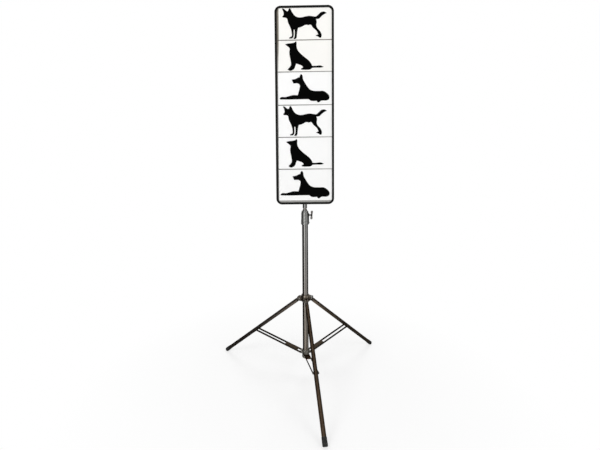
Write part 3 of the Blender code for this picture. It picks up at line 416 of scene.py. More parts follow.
def cast_piece(name, shapes, finish, body, stands_for, grain=0.0007, rounds=4):
    """Shapes run together and rounded off as one casting."""
    pattern = bpy.data.objects.new(name + "_pattern", bpy.data.meshes.new(name + "_pattern"))
    whole = joined(*shapes)
    whole.to_mesh(pattern.data)
    whole.free()
    bpy.context.scene.collection.objects.link(pattern)
    fused = pattern.modifiers.new("Fused", "REMESH")
    fused.mode = "VOXEL"
    fused.voxel_size = grain
    relaxed = pattern.modifiers.new("Relaxed", "SMOOTH")
    relaxed.factor = 0.5
    relaxed.iterations = rounds
    graph = bpy.context.evaluated_depsgraph_get()
    mesh = bpy.data.meshes.new_from_object(pattern.evaluated_get(graph))
    bpy.data.objects.remove(pattern, do_unlink=True)
    shape = bmesh.new()
    shape.from_mesh(mesh)
    bpy.data.meshes.remove(mesh)
    return finished(name, shape, finish, body, stands_for, sharp=80.0)


stand_turn = 4.7
leg_turns = {"left": 150.0 + stand_turn, "right": 30.0 + stand_turn, "front": -90.0 + stand_turn}
collar_pin_reach, collar_pin_height = 0.0225, 0.105
yellowed = moulded_nylon("yellowed_nylon", (0.62, 0.58, 0.47), (0.30, 0.26, 0.19))
plug_profile = (
    (0, 0.100), (0.0128, 0.100), (0.0131, 0.098), (0.0131, 0.0797), (0.0148, 0.0797), (0.0150, 0.0793),
    (0.0150, 0.0778), (0.0140, 0.0767), (0.0075, 0.0767), (0.0065, 0.0775), (0, 0.0775),
)
plug = moved(spun(plug_profile), column_axis)
finished("column_plug", plug, yellowed, "column", ["column_end_plug"])

casting_bore = 0.0154
light_casting = cast_metal("light_casting", (0.50, 0.485, 0.44), (0.22, 0.20, 0.165))
collar_profile = (
    (casting_bore, 0.122), (0.0172, 0.122), (0.0185, 0.1205), (0.0185, 0.0815), (0.0175, 0.080),
    (casting_bore, 0.080),
)
collar_shapes = [moved(spun(collar_profile, closed=True), column_axis)]
for turn in leg_turns.values():
    lug = slab(lug_outline(collar_pin_reach, 0.0163, 0.0062), 0.0222)
    collar_shapes.append(moved(lug, column_axis @ shift(z=collar_pin_height) @ turn_about("Z", turn)))
cast_piece("lower_collar_casting", collar_shapes, light_casting, "column", ["lower_collar"])


# Hub: the casting that slides on the column, with two ears for each leg and a boss for its lock screw.
# It is lighter in the middle and darker on the ears to its left and right.
def darker_ears(make):
    """Darker to the left and right of the hub's middle."""
    off_middle = make.sum_of("ABSOLUTE", make.along("X") - column_place[0], 0.0)
    return off_middle.held(0.008, 0.014) * 0.7


hub_height = 0.387
hub_pin_reach = 0.032
rubbed_casting = cast_metal(
    "rubbed_casting", (0.44, 0.385, 0.315), (0.17, 0.14, 0.11), bloom=0.35, roughness=0.18,
    darker_where=darker_ears,
)
hub_spot = column_axis @ shift(z=hub_height)
hub_profile = (
    (casting_bore, 0.0245), (0.0188, 0.0245), (0.0203, 0.0238), (0.0208, 0.0220), (0.0205, -0.0018),
    (0.0190, -0.0027), (0.0190, -0.0043), (0.0210, -0.0052), (0.0210, -0.0093), (0.0202, -0.0105),
    (casting_bore, -0.0105),
)
hub_shapes = [moved(spun(hub_profile, closed=True), hub_spot)]
for turn in leg_turns.values():
    for side in (-0.00585, 0.00585):
        ear = slab(lug_outline(hub_pin_reach, 0.0168, 0.0125), 0.0043)
        hub_shapes.append(moved(ear, hub_spot @ turn_about("Z", turn) @ shift(y=side)))
lock_turn = (leg_turns["right"] + leg_turns["front"]) / 2
lock_spot = hub_spot @ shift(z=0.016) @ turn_about("Z", lock_turn) @ turn_about("Y", 90)
boss_profile = ((0, 0.0168), (0.0071, 0.0168), (0.0071, 0.0272), (0, 0.0272))
hub_shapes.append(moved(spun(boss_profile), lock_spot))
cast_piece("hub_casting", hub_shapes, rubbed_casting, "hub", ["leg_hub"])


# Rivets: turned steel pins with domed heads, zinc plated and a little dull, through the hub's ears and
# the lower collar's lugs.
def plain_steel(name, colour, dark, metallic=1.0):
    """Zinc plate on turned steel: a very fine grain and small dull stains."""
    finish, make = new_finish(name, metallic=metallic)
    darkening = make.speckle(420.0, detail=4.0, roughness=0.6).held(0.42, 0.68)
    fine = make.speckle(2600.0, detail=2.0)
    return feed(finish, darkening.blend(colour, dark), 0.24 + darkening * 0.22, bump=fine, depth=0.00001)


def rivet(half_grip):
    """A domed pin about Z, its heads outside the grip."""
    seat = half_grip + 0.0003
    head = ((0, 0.0020), (0.0014, 0.00195), (0.0027, 0.0016), (0.0038, 0.0010), (0.0044, 0.0004), (0.0044, 0))
    upper = [(radius, seat + height) for radius, height in head] + [(0.0025, seat)]
    return spun(upper + [(radius, -z) for radius, z in reversed(upper)], steps=40)


zinc = plain_steel("zinc_plate", (0.60, 0.58, 0.54), (0.33, 0.30, 0.27))
dull_zinc = plain_steel("dull_zinc_plate", (0.28, 0.26, 0.23), (0.13, 0.115, 0.10))
ear_half_grip, lug_half_grip = 0.0079, 0.0132
flat = turn_about("X", 90)
for name, turn in leg_turns.items():
    ear_spot = hub_spot @ turn_about("Z", turn) @ shift(x=hub_pin_reach) @ flat
    pin = moved(rivet(ear_half_grip), ear_spot)
    finished("hub_rivet_" + name, pin, zinc, "hub", ["hub_pin_" + name])
    lug_spot = column_axis @ shift(z=collar_pin_height) @ turn_about("Z", turn)
    pin = moved(rivet(lug_half_grip), lug_spot @ shift(x=collar_pin_reach) @ flat)
    finished("collar_rivet_" + name, pin, dull_zinc, "column", ["brace_pin_" + name])


# Hub lock screw: a small die-cast knob with eight hollows for the fingers, on a steel screw whose tip
# presses on the column.
def fluted(shape, count, depth, inner, low, high):
    """Draws the rim in between its lobes, for points outside a radius and between two heights."""
    for vert in shape.verts:
        reach = math.hypot(vert.co.x, vert.co.y)
        if reach > inner and low <= vert.co.z <= high:
            wave = 0.5 - 0.5 * math.cos(count * math.atan2(vert.co.y, vert.co.x))
            share = 1.0 - depth * wave
            vert.co.x *= share
            vert.co.y *= share
    return shape


knob_metal = cast_metal("knob_metal", (0.55, 0.54, 0.51), (0.28, 0.26, 0.23), bloom=0.2, roughness=0.30)
knob_profile = (
    (0, 0.0403), (0.0030, 0.0403), (0.0036, 0.0397), (0.0052, 0.0397), (0.0060, 0.0402), (0.0072, 0.0402),
    (0.0082, 0.0395), (0.0085, 0.0385), (0.0085, 0.0330), (0.0080, 0.0317), (0.0064, 0.0308),
    (0.0055, 0.0290), (0.0055, 0.0273), (0.0030, 0.0273), (0.0030, 0.0158), (0.0024, 0.0153), (0, 0.0153),
)
knob = fluted(spun(knob_profile, steps=96), count=8, depth=0.13, inner=0.0070, low=0.031, high=0.041)
finished("hub_lock_grip", moved(knob, lock_spot), knob_metal, "hub_knob", ["hub_lock_knob"])


# Legs: 19 mm steel tube with a dark brown plate, scratched along its length and chipped. A cast plug
# with a flat tongue closes each upper end and hangs between the hub's ears.
def dark_plated(name, leaning, deep, light):
    finish, make = new_finish(name, metallic=1.0, leaning=leaning, Specular_Tint=(0.20, 0.17, 0.15, 1.0))
    drawn = make.speckle(70.0, (12.0, 12.0, 0.35), detail=4.0)
    cloud = make.speckle(22.0, (1.0, 1.0, 0.35), detail=5.0, roughness=0.6).held(0.34, 0.68)
    scratch = make.speckle(260.0, (1.6, 1.6, 0.10), detail=4.0, roughness=0.7).held(0.61, 0.68)
    chips = make.speckle(330.0, (1.0, 1.0, 0.5), detail=5.0, roughness=0.7).held(0.66, 0.71)
    bare = scratch.sum_of("MAXIMUM", scratch * 0.55, chips * 0.8)
    colour = bare.blend(cloud.blend(deep, light), (0.26, 0.215, 0.165))
    roughness = 0.38 + cloud * 0.10 + drawn * 0.05 + bare * 0.10
    return feed(finish, colour, roughness, bump=drawn - bare * 0.7, depth=0.00003)


leg_angle = 50.343
leg_length = 0.59857
tube_top, tube_end = -0.0223, 0.0080 - leg_length
brace_on_leg = -0.338
# Each leg has its own tone of the same plate: painted light and shade, lightest on the right leg and darkest
# on the front one.
leg_lit_and_shaded_tones = {"left": (0.170, 0.140, 0.118), "right": (0.240, 0.190, 0.140), "front": (0.125, 0.085, 0.056)}
leg_radius, leg_bore = 0.0095, 0.0083
leg_profile = ((leg_radius, tube_top), (leg_radius, tube_end), (leg_bore, tube_end), (leg_bore, tube_top))
tongue_outline = arc((0, 0), 0.0065, 0, 180) + [(-0.0065, -0.019), (0.0065, -0.019)]
shoulder_profile = (
    (0, -0.0152), (0.0072, -0.0155), (0.0092, -0.0166), (leg_radius, -0.0178), (leg_radius, -0.0222),
    (0.0080, -0.0222), (0.0080, -0.050), (0, -0.050),
)
dark_casting = cast_metal(
    "dark_casting", (0.23, 0.205, 0.18), (0.07, 0.058, 0.046), bloom=0.9, roughness=0.34,
)
leg_frames = {}
for name, turn in leg_turns.items():
    leg_frames[name] = hub_spot @ turn_about("Z", turn) @ shift(x=hub_pin_reach) @ turn_about("Y", -leg_angle)
    worn_tone = tuple(channel * 1.75 for channel in leg_lit_and_shaded_tones[name])
    leg_plate = dark_plated("dark_plate_leg_" + name, leg_frames[name], leg_lit_and_shaded_tones[name], worn_tone)
    leg_tube = moved(soften(spun(leg_profile, steps=48, closed=True), 0.0003), leg_frames[name])
    body = "leg_" + name
    finished("leg_shell_" + name, leg_tube, leg_plate, body, ["leg_tube_" + name])
    fitting = [slab(tongue_outline, 0.0070), spun(shoulder_profile)]
    fitting = [moved(shape, leg_frames[name]) for shape in fitting]
    cast_piece(
        "leg_plug_" + name, fitting, dark_casting, body, ["leg_fitting_" + name],
        grain=0.0005, rounds=3,
    )


# Brace pivots: a turned steel bush through each leg, with a shoulder on each side that keeps the brace's
# strips off the tube.
bush_profile = (
    (0, 0.0111), (0.0050, 0.0111), (0.0053, 0.0108), (0.0053, 0.0098), (0.0041, 0.0095),
    (0.0041, -0.0095), (0.0053, -0.0098), (0.0053, -0.0108), (0.0050, -0.0111), (0, -0.0111),
)
for name in leg_turns:
    bush = moved(spun(bush_profile, steps=40), leg_frames[name] @ shift(z=brace_on_leg) @ flat)
    finished("brace_bush_" + name, bush, dull_zinc, "leg_" + name, ["leg_bush_" + name])


# Feet: moulded rubber caps pushed over the tubes' ends, with three grooves for grip, dusty, and worn
# flat where they stand on the floor.
rubber, make = new_finish("cap_rubber", Specular_IOR_Level=0.3)
dust = make.speckle(120.0, detail=5.0, roughness=0.7).held(0.45, 0.75)
near_floor = 1.0 - make.along("Z").held(0.0, 0.010)
dusty = (dust * 0.5 + near_floor * 0.25).held()
skin = make.speckle(2200.0, detail=2.0)
rubber_tone = dusty.blend((0.018, 0.018, 0.018), (0.11, 0.10, 0.088))
feed(rubber, rubber_tone, 0.62 + dust * 0.2, bump=skin, depth=0.00005)
foot_end = -leg_length
cap_radius, groove_radius, cap_bore = 0.0108, 0.0103, 0.0097
foot_profile = [(0, 0.0077), (cap_bore, 0.0077), (cap_bore, 0.0300), (0.0102, 0.0304), (0.0107, 0.0298)]
foot_profile.append((cap_radius, 0.0288))
for ring in (0.0253, 0.0213, 0.0173):
    foot_profile += [(cap_radius, ring), (groove_radius, ring - 0.0005)]
    foot_profile += [(groove_radius, ring - 0.0012), (cap_radius, ring - 0.0017)]
foot_profile += [(cap_radius, 0.0022), (0.0101, 0.0007), (0.0088, 0), (0, 0)]
for name in leg_turns:
    cap = moved(spun(foot_profile, steps=56), leg_frames[name] @ shift(z=foot_end))
    everything = cap.verts[:] + cap.edges[:] + cap.faces[:]
    bmesh.ops.bisect_plane(cap, geom=everything, plane_co=(0, 0, 0), plane_no=(0, 0, -1), clear_outer=True)
    open_edges = [edge for edge in cap.edges if edge.is_boundary]
    if open_edges:
        bmesh.ops.contextual_create(cap, geom=open_edges)
    finished("foot_cap_" + name, cap, rubber, "leg_" + name, ["foot_" + name])


# Braces: each is one pressed steel channel, two flat strips joined by a web over their inner part, with
# the legs' dark plate. A rivet head on each side holds it to the leg's bush.
brace_angle = 76.192
brace_length = 0.27775
strip_middle, strip_thick, strip_half = 0.0123, 0.0018, 0.0050
strip_outline = arc((0, brace_length), strip_half, 0, 180) + arc((0, 0), strip_half, 180, 360)
web_inner, web_outer = -strip_half + 0.0003, -strip_half + 0.0015
web_start, web_end = 0.020, 0.094
web_outline = [(web_inner, web_start), (web_outer, web_start), (web_outer, web_end), (web_inner, web_end)]
head_profile = (
    (0, 0.0020), (0.0016, 0.0019), (0.0031, 0.0014), (0.0041, 0.0007), (0.0045, 0), (0.0045, -0.001),
    (0, -0.001),
)
# The front brace's darker, browner tone is painted shade on the same plate as the others.
brace_tone, front_brace_shaded_tone = (0.085, 0.068, 0.052), (0.075, 0.055, 0.040)
for name, turn in leg_turns.items():
    brace_frame = column_axis @ shift(z=collar_pin_height) @ turn_about("Z", turn)
    brace_frame = brace_frame @ shift(x=collar_pin_reach) @ turn_about("Y", brace_angle)
    strips = []
    heads = []
    for side in (-1, 1):
        strip = soften(slab(strip_outline, strip_thick), 0.0004)
        strips.append(moved(strip, shift(y=side * strip_middle)))
        head_spot = shift(y=side * lug_half_grip, z=brace_length) @ turn_about("X", -90 * side)
        heads.append(moved(spun(head_profile, steps=40), head_spot))
    web = soften(slab(web_outline, 2 * strip_middle), 0.0004)
    tone = front_brace_shaded_tone if name == "front" else brace_tone
    worn_tone = tuple(channel * 1.8 for channel in tone)
    brace_plate = dark_plated("dark_plate_brace_" + name, brace_frame, tone, worn_tone)
    brace = moved(joined(*strips, web, *heads), brace_frame)
    body = "brace_" + name
    finished("brace_channel_" + name, brace, brace_plate, body, [body])


# Riser clamp: a bare alloy casting over the column's top with a pad for its T-handled screw and a small
# riveted ear below. A nylon bush inside it guides the riser.
# The clamp's pad and ear, right of the column, are darkened with painted shade.
clamp_casting = cast_metal(
    "clamp_casting", (0.60, 0.605, 0.585), (0.09, 0.088, 0.078), bloom=0.2, roughness=0.30,
    darker_where=lambda make: make.along("X").held(0.0345, 0.0362) * 0.9,
)
clamp_profile = (
    (0.0115, 0.8442), (0.0149, 0.8442), (0.0164, 0.8430), (0.0168, 0.8415), (0.0169, 0.8365),
    (0.0187, 0.8320), (0.0187, 0.8060), (0.0196, 0.7900), (0.0196, 0.7752), (0.0182, 0.7732),
    (casting_bore, 0.7732), (casting_bore, 0.8004), (0.0142, 0.8004), (0.0142, 0.8422), (0.0115, 0.8422),
)
pad_spot = column_axis @ shift(z=0.8237)
screw_spot = column_axis @ shift(z=0.82118)
pad_outline = [
    (0.0158, 0.0095), (0.0196, 0.0078), (0.0208, 0.0050), (0.0208, -0.030), (0.0196, -0.036),
    (0.0158, -0.036),
]
ear_outline = arc((0.0174, -0.0403), 0.0056, 0, 360, 32)[:-1]
screw_boss_profile = ((0, 0.016), (0.0066, 0.016), (0.0066, 0.0228), (0, 0.0228))
clamp_shapes = [
    moved(spun(clamp_profile, closed=True), column_axis),
    moved(slab(pad_outline, 0.0090), pad_spot),
    moved(slab(ear_outline, 0.0110), pad_spot),
    moved(spun(screw_boss_profile), screw_spot @ turn_about("Y", 90)),
]
cast_piece("clamp_casting", clamp_shapes, clamp_casting, "column", ["clamp_collar"])
rivet_profile = (
    (0, 0.0066), (0.0026, 0.0064), (0.0030, 0.0055), (0.0030, -0.0055), (0.0026, -0.0064), (0, -0.0066),
)
ear_rivet = soften(spun(rivet_profile, steps=32), 0.0002)
ear_rivet = moved(ear_rivet, pad_spot @ shift(x=0.0176, z=-0.0403) @ flat)
bright_rivet = plain_steel("bright_rivet", (0.88, 0.87, 0.85), (0.70, 0.68, 0.65), metallic=0.2)
finished("clamp_ear_rivet", ear_rivet, bright_rivet, "column")

clean_nylon = moulded_nylon("clean_nylon", (0.72, 0.71, 0.67), (0.42, 0.40, 0.36))
guide_profile = ((0.0137, 0.8419), (0.0137, 0.8008), (0.0113, 0.8008), (0.0113, 0.8419))
guide = moved(soften(spun(guide_profile, closed=True), 0.0002), column_axis)
finished("guide_sleeve", guide, clean_nylon, "column", ["guide_bush"])


def bar_crevice_shade(make):
    """Painted shade round the middle of the bar, in the crevice where the stem meets it."""
    off_middle = make.sum_of("ABSOLUTE", make.along("Z") - bar_middle, 0.0)
    return 1.0 - off_middle.held(0.0035, 0.0060)


bar_middle = 0.8215
t_metal = cast_metal(
    "handle_casting", (0.46, 0.43, 0.41), (0.055, 0.047, 0.042), bloom=0.3, roughness=0.38,
    darker_where=bar_crevice_shade,
)
upper_bar = (
    (0, 0.0223), (0.0020, 0.0221), (0.0038, 0.0211), (0.0050, 0.0193), (0.0055, 0.0165), (0.0054, 0.0130),
    (0.0047, 0.0080), (0.0042, 0.0035),
)
bar_profile = upper_bar + tuple((radius, -z) for radius, z in reversed(upper_bar))
thread = []
for turn_number in range(6):
    start = 0.0232 + turn_number * 0.0010
    thread += [(0.0035, start), (0.0031, start + 0.0005)]
stem_profile = [(0, 0.0113), (0.0030, 0.0113), (0.0035, 0.0118), *thread, (0.0050, 0.0296), (0.0054, 0.0312)]
stem_profile += [(0.0054, 0.0352), (0.0046, 0.0372), (0, 0.0376)]
handle_shapes = [
    moved(spun(bar_profile), screw_spot @ shift(x=0.034) @ turn_about("Y", 4.0)),
    moved(spun(stem_profile), screw_spot @ turn_about("Y", 90)),
]
cast_piece(
    "t_handle", handle_shapes, t_metal, "clamp_screw", ["clamp_t_screw"],
    grain=0.0003, rounds=3,
)


# Riser: 22 mm bright plated tube that slides in the column, with a nylon plug at its foot and a turned
# steel spigot pressed into its top.
low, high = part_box("riser_tube")
riser_plate = plated_tube("riser_plate", (0.46, 0.455, 0.46), (0.34, 0.335, 0.335), -1.0, -0.5)
riser_radius, riser_bore = 0.011, 0.0098
riser_profile = ((riser_radius, high.z), (riser_radius, low.z), (riser_bore, low.z), (riser_bore, high.z))
riser_shell = moved(soften(spun(riser_profile, closed=True), 0.0003), column_axis)
finished("riser_shell", riser_shell, riser_plate, "riser", ["riser_tube"])
plug_profile = (
    (0, low.z + 0.020), (0.0090, low.z + 0.020), (0.0095, low.z + 0.019), (0.0095, low.z - 0.0003),
    (0.0128, low.z - 0.0003), (0.0132, low.z - 0.0008), (0.0132, low.z - 0.0077), (0.0127, low.z - 0.0083),
    (0, low.z - 0.0083),
)
riser_plug = moved(spun(plug_profile), column_axis)
finished("riser_plug", riser_plug, clean_nylon, "riser_slider", ["riser_guide_plug"])
low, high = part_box("spigot")
spigot_profile = (
    (0, high.z), (0.0068, high.z), (0.0076, high.z - 0.0004), (0.0080, high.z - 0.0013), (0.0080, 0.8519),
    (0.0084, 0.8515), (0.0106, 0.8515), (0.0110, 0.8511), (0.0110, 0.8488), (0.0107, 0.8485),
    (0.0095, 0.8485), (0.0095, low.z + 0.001), (0.0085, low.z), (0, low.z),
)
finished("spigot_turned", moved(spun(spigot_profile), column_axis), zinc, "riser", ["spigot"])


# Socket bracket: a bright plated tube that drops over the spigot, welded along both sides to a plate on
# the board's back. Four pan-head screws hold the plate, and a knurled screw locks the socket.
def rounded(width, height, radius, at=(0.0, 0.0), steps=10):
    """A flat rounded rectangle in XZ, wound the same way at any size."""
    (x, z), half, tall = at, width / 2 - radius, height / 2 - radius
    outline = []
    for a, b, start in ((half, tall, 0), (-half, tall, 90), (-half, -tall, 180), (half, -tall, 270)):
        outline += arc((x + a, z + b), radius, start, start + 90, steps)
    return outline


bracket_plate = plated_tube("bracket_plate", (0.50, 0.495, 0.49), (0.36, 0.35, 0.34), -1.0, -0.5)
socket_profile = (
    (0, 0.9565), (0.0098, 0.9565), (0.0107, 0.9561), (0.0110, 0.9552), (0.0110, 0.8571), (0.0107, 0.8565),
    (0.0086, 0.8565), (0.0083, 0.8569), (0.0083, 0.9185), (0, 0.9185),
)
weld_profile = [(0, 0.8915), (0.0009, 0.8915)]
for bead in range(24):
    foot = 0.8920 + bead * 0.0026
    weld_profile += [(0.0016, foot), (0.0021, foot + 0.0009), (0.0019, foot + 0.0019)]
weld_profile += [(0.0009, 0.9550), (0, 0.9550)]
plate_height = 0.9445
back_plate = soften(slab(rounded(0.060, 0.110, 0.006, (0.0, plate_height)), 0.0035), 0.0005)
bracket_shapes = [spun(socket_profile), moved(back_plate, shift(y=-0.01175))]
for side in (-1, 1):
    bracket_shapes.append(moved(spun(weld_profile, steps=16), shift(x=side * 0.0060, y=-0.0096)))
bracket = moved(joined(*bracket_shapes), column_axis)
finished("socket_and_plate", bracket, bracket_plate, "board", ["socket_bracket"])

thumb_spot = column_axis @ shift(z=0.89648) @ turn_about("X", -90)
thumb_profile = (
    (0, 0.0240), (0.0052, 0.0240), (0.0062, 0.0236), (0.0070, 0.0228), (0.0070, 0.0172), (0.0062, 0.0163),
    (0.0046, 0.0160), (0.0042, 0.0150), (0.0030, 0.0148), (0.0030, 0.0086), (0.0026, 0.0083), (0, 0.0083),
)
thumb = fluted(spun(thumb_profile, steps=144), count=36, depth=0.07, inner=0.0063, low=0.0165, high=0.0235)
thumb = moved(thumb, thumb_spot)
finished("socket_thumb_screw", thumb, zinc, "socket_knob", ["socket_screw"])

screw_steel = plain_steel("screw_steel", (0.50, 0.49, 0.46), (0.24, 0.22, 0.20))
head_profile = (
    (0, 0.0018), (0.0014, 0.00175), (0.0026, 0.0014), (0.0034, 0.0007), (0.0036, 0.0002), (0.0036, 0),
    (0.0017, 0), (0.0017, -0.0110), (0, -0.0128),
)
screw_spots = ((-0.022, -0.047), (0.022, -0.047), (-0.022, 0.047), (0.022, 0.047))
for number, (across, up) in enumerate(screw_spots, 1):
    head = spun(head_profile, steps=32)
    cross = [face for face in head.faces if face.calc_center_median().z > 0.0015]
    for face in cross:
        centre = face.calc_center_median()
        face_turn = (math.degrees(math.atan2(centre.y, centre.x)) + 10.0 * number) % 90.0
        face.select = face_turn < 24.0
    sunk = bmesh.ops.extrude_face_region(head, geom=[face for face in cross if face.select])
    bottom = [item for item in sunk["geom"] if isinstance(item, bmesh.types.BMVert)]
    bmesh.ops.translate(head, vec=(0, 0, -0.0008), verts=bottom)
    bmesh.ops.delete(head, geom=[face for face in cross if face.select and face.is_valid], context="FACES")
    head = moved(head, column_axis @ shift(x=across, y=-0.0097, z=plate_height + up) @ turn_about("X", -90))
    node = f"bracket_screw_{number}"
    finished(f"plate_screw_{number}", head, screw_steel, "board", [node])


# Rim: a black frame pressed from thin sheet, with a narrow lip over the board's front, rolled edges and
# a satin paint with a few chips. Its side wall really goes round the board from the lip's outer edge.
# Here it stands along the lip's inner edge, so the board's grey edge shows from the side.
def black_paint():
    finish, make = new_finish("satin_black", Specular_IOR_Level=0.10)
    orange_peel = make.speckle(420.0, detail=2.0)
    dull = make.speckle(14.0, detail=4.0).held(0.35, 0.7)
    chips = make.speckle(150.0, detail=6.0, roughness=0.75).held(0.70, 0.73)
    dust = make.speckle(60.0, detail=5.0, roughness=0.7).held(0.50, 0.80)
    colour = chips.blend(dust.blend((0.008, 0.008, 0.0075), (0.022, 0.021, 0.020)), (0.10, 0.095, 0.09))
    return feed(finish, colour, 0.36 + dull * 0.14 + dust * 0.12, bump=orange_peel - chips, depth=0.00003)


board_low, board_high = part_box("rim")
board_width, board_height = board_high.x - board_low.x, board_high.z - board_low.z
board_middle = ((board_low.x + board_high.x) / 2, (board_low.z + board_high.z) / 2)
board_corner = 0.029
lip_width = 0.0085
outline = rounded(board_width, board_height, board_corner, board_middle, steps=20)
rim = bmesh.new()
lip = rim.faces.new([rim.verts.new((x, board_low.y, z)) for x, z in outline])
rim.normal_update()
lip_edges = list(lip.edges)
bmesh.ops.inset_region(rim, faces=[lip], thickness=lip_width, use_even_offset=True, use_boundary=True)
bmesh.ops.delete(rim, geom=[lip], context="FACES_ONLY")
wall_edges = [edge for edge in lip_edges if edge.is_valid and edge.is_boundary]
side = bmesh.ops.extrude_edge_only(rim, edges=wall_edges)
side_points = [item for item in side["geom"] if isinstance(item, bmesh.types.BMVert)]
bmesh.ops.translate(rim, vec=(0, board_high.y - board_low.y, 0), verts=side_points)
bmesh.ops.recalc_face_normals(rim, faces=rim.faces)
bmesh.ops.solidify(rim, geom=rim.faces[:], thickness=0.0015)
bmesh.ops.recalc_face_normals(rim, faces=rim.faces)
soften(rim, 0.0005, segments=3, angle=60.0)
finished("rim_frame", rim, black_paint(), "board", ["rim"])


# Backing: 10.5 mm fibreboard behind the panels, painted grey and scuffed. The socket's plate is screwed
# to its back.
def dress(finish, edge, *nodes):
    """A finish for CAD pieces that keep their shape, with their edges eased."""
    for name in nodes:
        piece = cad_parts[name]
        piece.material_slots[0].material = finish
        weld = piece.modifiers.new("Weld", "WELD")
        weld.merge_threshold = 0.00001
        eased = piece.modifiers.new("Eased", "BEVEL")
        eased.width = edge
        eased.segments = 2
        eased.limit_method = "ANGLE"
        eased.angle_limit = math.radians(40.0)


backing, make = new_finish("grey_fibreboard", Specular_IOR_Level=0.35)
fibre = make.speckle(300.0, (1.0, 1.0, 0.45), detail=6.0, roughness=0.7)
blotch = make.speckle(9.0, detail=5.0, roughness=0.6).held(0.35, 0.7)
scuffed = make.speckle(40.0, (0.3, 1.0, 1.0), detail=6.0, roughness=0.75).held(0.64, 0.70)
paint = scuffed.blend(blotch.blend((0.27, 0.27, 0.26), (0.32, 0.315, 0.30)), (0.42, 0.38, 0.32))
feed(backing, paint, 0.62 + blotch * 0.12 - fibre * 0.1, bump=fibre, depth=0.00025)
dress(backing, 0.0005, "backing_board")


# Rail and sill: grey plastic strips that the panels stand against, down the left and along the bottom.
# They are grimy, with painted shade next to the rim that is darkest and brownest at the top of the rail.
def grey_plastic(name, shade):
    """Grey plastic whose tone runs with a given value from dark, with painted shade and grime, to clean."""
    finish, make = new_finish(name, Specular_IOR_Level=0.35)
    grime = make.speckle(70.0, detail=5.0, roughness=0.65).held(0.35, 0.75)
    # Painted shade makes both tones darker and browner at the top.
    upper = make.along("Z").held(1.56, 1.68)
    shaded_and_dirty = upper.blend((0.085, 0.082, 0.075), (0.060, 0.052, 0.040))
    clean = upper.blend((0.36, 0.355, 0.34), (0.19, 0.165, 0.135))
    tone = (shade(make) - grime * 0.22).held(0.0, 1.0).blend(shaded_and_dirty, clean)
    fine = make.speckle(900.0, detail=2.0)
    return feed(finish, tone, 0.46 + grime * 0.2, bump=fine, depth=0.00004)


def rail_shade(make):
    return make.along("X").held(lip_edge - 0.0005, lip_edge + 0.0065) * 1.15


def sill_shade(make):
    return 0.55 + make.along("Z").held(sill_floor, sill_floor + 0.010) * 0.9


lip_edge = board_low.x + lip_width
sill_floor = board_low.z + lip_width
rail_grey = grey_plastic("rail_grey", rail_shade)
dress(rail_grey, 0.0004, "stop_rail")
sill_grey = grey_plastic("sill_grey", sill_shade)
dress(sill_grey, 0.0004, "bottom_sill")


# Dividers: five narrow grey T-bars between the panels, of the rail's plastic. They are darker on the
# left, where the rim shades them.
divider_grey = grey_plastic("divider_grey", lambda make: 0.08 + make.along("X").held(-0.10, 0.15) * 0.80)
dress(divider_grey, 0.0002, *(f"divider_{number}" for number in range(1, 6)))


# Panels: six boards of smooth white plastic, slipped in behind the rim's lip. The two upper ones have
# yellowed a little and have painted shade down their left edges, and the lip shades all six on the right.
panel_white, make = new_finish("panel_white", Specular_IOR_Level=0.4)
height = make.along("Z")
across = make.along("X")
old = height.held(1.525, 1.530)
cloudy = make.speckle(5.0, detail=4.0).held(0.3, 0.7)
clean = cloudy.blend((0.925, 0.925, 0.92), (0.94, 0.94, 0.935))
cream = cloudy.blend((0.915, 0.905, 0.87), (0.93, 0.92, 0.89))
past_rail = across - (lip_edge + 0.0055)
in_top = height.held(1.678, 1.679)
reach = 0.0018 + height.held(1.52, 1.68) * 0.0048
blur = 0.0021 - in_top * 0.0018
edge_shade = (1.0 - past_rail.held(reach - blur, reach + blur)) * height.held(1.50, 1.62)
# Painted shade down the left edges of the two upper panels, brown and darkest by the rail.
darkening = past_rail.held(0.0, 0.0058).blend((0.17, 0.15, 0.12), (0.35, 0.33, 0.28))
rubbed = make.speckle(85.0, detail=6.0, roughness=0.75).held(0.66, 0.74)
surface = edge_shade.blend(old.blend(clean, cream), darkening)
surface = (rubbed * 0.25).blend(surface, (0.70, 0.69, 0.66))
lip_right = board_high.x - lip_width
right_shade = across.held(lip_right - 0.0022, lip_right - 0.0006)
surface = (right_shade * 0.85).blend(surface, (0.12, 0.115, 0.11))
sheen = make.speckle(260.0, detail=2.0)
feed(panel_white, surface, 0.30 + cloudy * 0.08 + rubbed * 0.25, bump=sheen, depth=0.00003)
dress(panel_white, 0.0004, *(f"picture_panel_{number}" for number in range(1, 7)))


